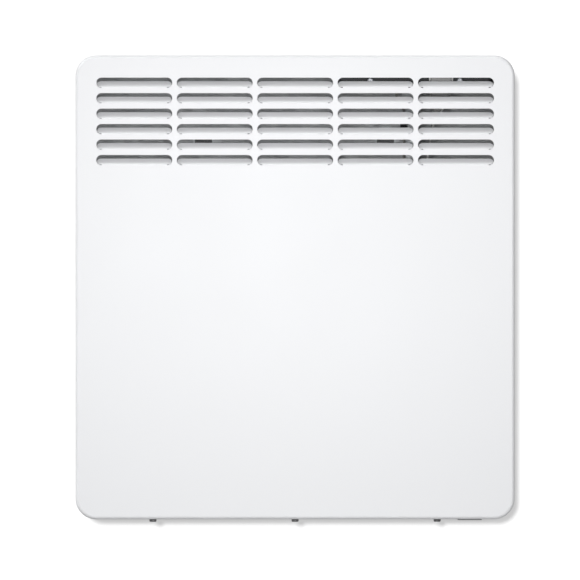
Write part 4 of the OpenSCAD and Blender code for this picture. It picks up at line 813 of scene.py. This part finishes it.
disc_up = 5.2
mesh = bmesh.new()
for k in (-1, 1):
    spot = Matrix.Translation((field_x + 5 * k, field_y - disc_up, field_z - 16))
    loft(mesh, disc(3.4, 28), ((-1.2, 0.75), (-0.8, 0.95), (0, 1), (0.8, 0.95), (1.2, 0.75)),
         spot @ along_board)
    for side in (-1, 1):
        straight = spot @ Matrix.Translation((0, 0, 1.9 * side)) @ into_board
        loft(mesh, leg, ((0, 1), (disc_up + 0.1, 1)), straight)
disc_coat = plastic("disc_coat", (0.55, 0.27, 0.06), (0.64, 0.35, 0.09), 0.4, 900.0)
new_piece("disc_capacitors", mesh, disc_coat)

# Room sensor: a bead dipped in black epoxy, in a holder of white nylon on the grille, where the cool
# air comes in.
dress(plastic("epoxy_bead", (0.018, 0.018, 0.02), (0.03, 0.03, 0.033), 0.28, 700.0), "room_sensor")
dress(plastic("white_nylon", (0.74, 0.74, 0.71), (0.81, 0.81, 0.79), 0.48), "sensor_holder")

# Push switches: black bodies under a pressed steel cover, with a pale plunger that the button's
# stem meets.
plunger_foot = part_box("button_switches")[1].z - 0.0007
key, tree, shader = finish_of("push_switch", (0.03, 0.03, 0.032), 0.4)
skin, skin_rough = moulded(tree, shader, (0.022, 0.022, 0.024), (0.034, 0.034, 0.037), 0.42)
roll = use_group(tree, streaks, X_per_metre=800.0)
cover = zone(tree, Low_Z=plunger_foot - 0.0007, High_Z=plunger_foot)
plated = tint(tree, roll["Streak"], (0.58, 0.59, 0.60), (0.72, 0.73, 0.74))
plunger = zone(tree, Low_Z=plunger_foot)
feed(tree, shader, Base_Color=tint(tree, plunger, tint(tree, cover, skin, plated), (0.70, 0.66, 0.56)),
     Metallic=cover, Roughness=skin_rough)
dress(key, "button_switches")

# Display: a liquid-crystal glass in a grey frame over the board, below a smoked window that is set
# into the fascia.
low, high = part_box("display_module")
panel, tree, shader = finish_of("display_panel", (0.10, 0.12, 0.11), 0.25)
frame_skin = moulded(tree, shader, (0.30, 0.31, 0.30), (0.38, 0.39, 0.38), 0.4)[0]
rim = 0.003
crystal_zone = zone(tree, Low_Z=high.z - 0.0001, Low_X=low.x + rim, High_X=high.x - rim,
                    Low_Y=low.y + rim, High_Y=high.y - rim)
cloud = use_group(tree, grain)
liquid = tint(tree, cloud["Tone"], (0.34, 0.38, 0.35), (0.39, 0.43, 0.39))
feed(tree, shader, Base_Color=tint(tree, crystal_zone, frame_skin, liquid),
     Roughness=spread(tree, crystal_zone, 0.42, 0.12))
dress(panel, "display_module")

smoked, tree, shader = finish_of("smoked_window", (0.56, 0.58, 0.60), 0.04, Transmission_Weight=0.9,
                                 IOR=1.49, Specular_IOR_Level=0.5)
cloud = use_group(tree, grain, Waves_per_metre=120.0)
feed(tree, shader, Base_Color=tint(tree, cloud["Tone"], (0.54, 0.56, 0.58), (0.60, 0.62, 0.64)),
     Roughness=spread(tree, cloud["Tone"], 0.02, 0.10))
relief(tree, shader, cloud["Height"], 0.03, 0.0002)
dress(smoked, "display_window")

# Digits: the dark segments of the liquid-crystal glass. They read a room temperature of twenty-one.
# The pointed bars leave a fine gap where they meet.
low, high, middle = box_in_mm("display_module")
segments = {2: "abged", 1: "bc"}
digit_w, digit_h, bar, half_pitch, end_gap = 7.5, 13.0, 1.5, 6.5, 0.6
bars = {"a": (0, 1, True), "b": (0.5, 0.5, False), "c": (0.5, -0.5, False), "d": (0, -1, True),
        "e": (-0.5, -0.5, False), "g": (0, 0, True)}
mesh = bmesh.new()
for place_in_row, number in ((-1, 2), (1, 1)):
    for letter in segments[number]:
        across, up, flat = bars[letter]
        turn = Matrix.Rotation(0 if flat else upright, 4, "Z")
        spot = Vector((middle.x + place_in_row * half_pitch + across * digit_w,
                       middle.y + up * digit_h / 2, high.z))
        long = (digit_w if flat else digit_h / 2) - end_gap
        pointed = [(-long / 2, 0), (bar / 2 - long / 2, -bar / 2), (long / 2 - bar / 2, -bar / 2),
                   (long / 2, 0), (long / 2 - bar / 2, bar / 2), (bar / 2 - long / 2, bar / 2)]
        loft(mesh, pointed, ((-0.05, 1), (0.02, 1), (0.05, 0.94)), Matrix.Translation(spot) @ turn)
segment_dark = plastic("segment_dark", (0.035, 0.045, 0.04), (0.05, 0.06, 0.055), 0.2)
new_piece("display_digits", mesh, segment_dark)

# Display branch of the flat cable: a greyer length pressed on the main cable under the control unit.
# It runs forward and up the front of the skirt, where it plugs in between two pale latches.
low, high, middle = box_in_mm("ribbon_cable")
skirt_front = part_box("control_fascia")[0].y * 1000
branch_x, cable_w, cable_t, bend_r = high.x - 9.9, 19.0, 0.8, 2.6
main_front, pressed_from, first_bend, last_bend, plug_low = -61.3, 183.5, 187.8, 193.0, 204.6
run_y = skirt_front - 0.15 - cable_t / 2
line = [(main_front, pressed_from), (main_front, first_bend - 0.2)]
line += [(main_front - bend_r + bend_r * math.cos(t), first_bend + bend_r * math.sin(t))
         for t in (0.4, 0.8, 1.2, upright)]
line += [(run_y + bend_r - bend_r * math.sin(t), last_bend - bend_r * math.cos(t))
         for t in (0, 0.4, 0.8, 1.2, upright)]
line += [(run_y, plug_low + 1)]
one_side, other_side = [], []
for k, (y, z) in enumerate(line):
    before, after = line[max(k - 1, 0)], line[min(k + 1, len(line) - 1)]
    along = Vector((after[0] - before[0], after[1] - before[1])).normalized()
    one_side.append((y - along.y * cable_t / 2, z + along.x * cable_t / 2))
    other_side.append((y + along.y * cable_t / 2, z - along.x * cable_t / 2))
sideways_on = Matrix(((0, 0, 1, branch_x), (1, 0, 0, 0), (0, 1, 0, 0), (0, 0, 0, 1)))
mesh = bmesh.new()
loft(mesh, one_side + other_side[::-1], ((-cable_w / 2, 1), (cable_w / 2, 1)), sideways_on)
grey_cable = flat_cable("grey_cable", (0.27, 0.27, 0.27), (0.34, 0.34, 0.33))
new_piece("cable_branch", mesh, grey_cable)

mesh = bmesh.new()
plug_y, latch_drop = skirt_front - 0.7, 4.2
body_spot = Matrix.Translation((branch_x, plug_y, plug_low))
loft(mesh, rounded(cable_w + 5, 1.5, 0.4), ((0, 1), (5.6, 1), (6, 0.97)), body_spot)
for side in (-1, 1):
    latch = Matrix.Translation((branch_x + side * (cable_w / 2 + 1.4), plug_y, plug_low - latch_drop))
    loft(mesh, rounded(1.7, 1.5, 0.4), ((0, 0.6), (0.8, 1), (4.4, 1)), latch)
latch_plastic = plastic("latch_plastic", (0.42, 0.42, 0.41), (0.52, 0.52, 0.50), 0.4)
new_piece("branch_plug", mesh, latch_plastic)

# Buttons: charcoal caps with a shallow dish, worn smoother where fingers press them. Each floats on
# its switch and is kept by a flange below the fascia.
button_skin, tree, shader = finish_of("button_skin", (0.05, 0.051, 0.054), 0.45)
skin, skin_rough = moulded(tree, shader, (0.040, 0.041, 0.043), (0.055, 0.056, 0.060), 0.46, 2200.0)
pressed = zone(tree, Low_Z=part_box("button_menu")[1].z - 0.0006)
feed(tree, shader, Base_Color=skin, Roughness=figure(tree, "MULTIPLY_ADD", pressed, -0.12, skin_rough))
dress(button_skin, "button_standby", "button_menu", "button_minus", "button_plus")

# Button marks: pale symbols inlaid in the dished caps, for standby, menu, less and more, moulded in
# white as a second shot.
mark_white = plastic("mark_white", (0.70, 0.70, 0.69), (0.78, 0.78, 0.77), 0.42)
inlay_depth = 0.5


def strip(length, width, at_x=0.0, at_y=0.0, turn=0.0):
    """Outline of one bar of a symbol."""
    cos, sin = math.cos(turn), math.sin(turn)
    return [(at_x + x * cos - y * sin, at_y + x * sin + y * cos)
            for x, y in rounded(length, width, 0.45 * width, 3)]


def broken_ring(radius, width, gap):
    """Outline of a ring that is open at its top by a gap given as an angle."""
    turns = [upright + gap / 2 + (2 * math.pi - gap) * n / 28 for n in range(29)]
    outer = [((radius + width / 2) * math.cos(t), (radius + width / 2) * math.sin(t)) for t in turns]
    inner = [((radius - width / 2) * math.cos(t), (radius - width / 2) * math.sin(t)) for t in turns]
    return outer + inner[::-1]


symbols = {"button_standby": [broken_ring(2.5, 0.7, 1.1), strip(2.4, 0.7, 0, 2.0, upright)],
           "button_menu": [strip(4.6, 0.7, 0, k * 1.7) for k in (-1, 0, 1)],
           "button_minus": [strip(5.0, 0.8)],
           "button_plus": [strip(5.0, 0.8), strip(2.1, 0.8, 0, 1.45, upright),
                           strip(2.1, 0.8, 0, -1.45, upright)]}
for name, outlines in symbols.items():
    low, high, middle = box_in_mm(name)
    spot = Matrix.Translation((middle.x, middle.y, high.z - inlay_depth))
    mesh = bmesh.new()
    for outline in outlines:
        loft(mesh, outline, ((0, 1), (0.36, 1), (0.42, 1)), spot)
    new_piece(name + "_mark", mesh, mark_white, name)

# Front panel: one deep-drawn sheet in fine white powder coat, its thirty blades punched and folded
# in the same press. The coat has a fine orange peel and thins a little along the punched edges.
coat, tree, shader = finish_of("white_powder_coat", (0.855, 0.862, 0.878), 0.42, Specular_IOR_Level=0.4)
peel = use_group(tree, grain, Grains_per_metre=2600.0, Waves_per_metre=420.0)
edges = use_group(tree, wear, Reach=8.0, Patchiness=0.2)
even = tint(tree, peel["Tone"], (0.848, 0.856, 0.874), (0.862, 0.868, 0.883))
feed(tree, shader, Base_Color=tint(tree, spread(tree, edges["Edge"], 0.0, 0.15), even, (0.80, 0.81, 0.82)),
     Roughness=spread(tree, peel["Tone"], 0.38, 0.48))
relief(tree, shader, peel["Height"], 0.10, 0.0002)
dress(coat, "front_panel")
redraw("front_sheet", "front_panel")

# Casing screws: three black-coated pan heads that pull the front panel's lower lip to the grille.
# The coat is worn grey along its edges, and it is painted a lighter grey than black, as painted light from
# below.
black_screw = plated_screw("black_screw", (0.19, 0.19, 0.195), (0.42, 0.42, 0.43), 0.35, 0.42)
dress(black_screw, "casing_screws")

# Mains switch: housing and rocker moulded in the same mid-grey nylon, with four brass tabs. Two of
# them carry receptacles.
switch_grey = plastic("switch_grey", (0.315, 0.32, 0.325), (0.36, 0.365, 0.37), 0.45)
dress(switch_grey, "switch_housing", "switch_rocker")
tab_metal = rolled("tab_brass", (0.66, 0.55, 0.33), (0.80, 0.70, 0.47), 0.30, 1.0, Y_per_metre=60.0)
dress(tab_metal, "switch_tabs")

# Rocker marks: a bar for on and a ring for off, moulded white and slightly raised on the two halves
# of the rocker's hollow face.
swing = [joint for joint in frame["joints"] if joint["name"] == "mains_switch"][0]
tilt = Matrix.Rotation(math.radians(-swing["range_deg"][1] / 2), 4, "X")
slope, mark_out, face_up = math.radians(7.2), 6.0, -2.76
mesh = bmesh.new()
for side, outline in ((-1, strip(5.0, 1.1, turn=upright)), (1, broken_ring(2.4, 0.9, 0.04))):
    turned = Matrix.Rotation(math.pi - slope * side, 4, "X")
    half = Matrix.Translation((0, mark_out * side, face_up)) @ turned
    spot = Matrix.Translation(Vector(swing["pos_m"]) * 1000) @ tilt @ half
    loft(mesh, outline, ((-0.1, 1), (0.08, 1), (0.12, 0.97)), spot)
new_piece("rocker_marks", mesh, mark_white, "switch_rocker")
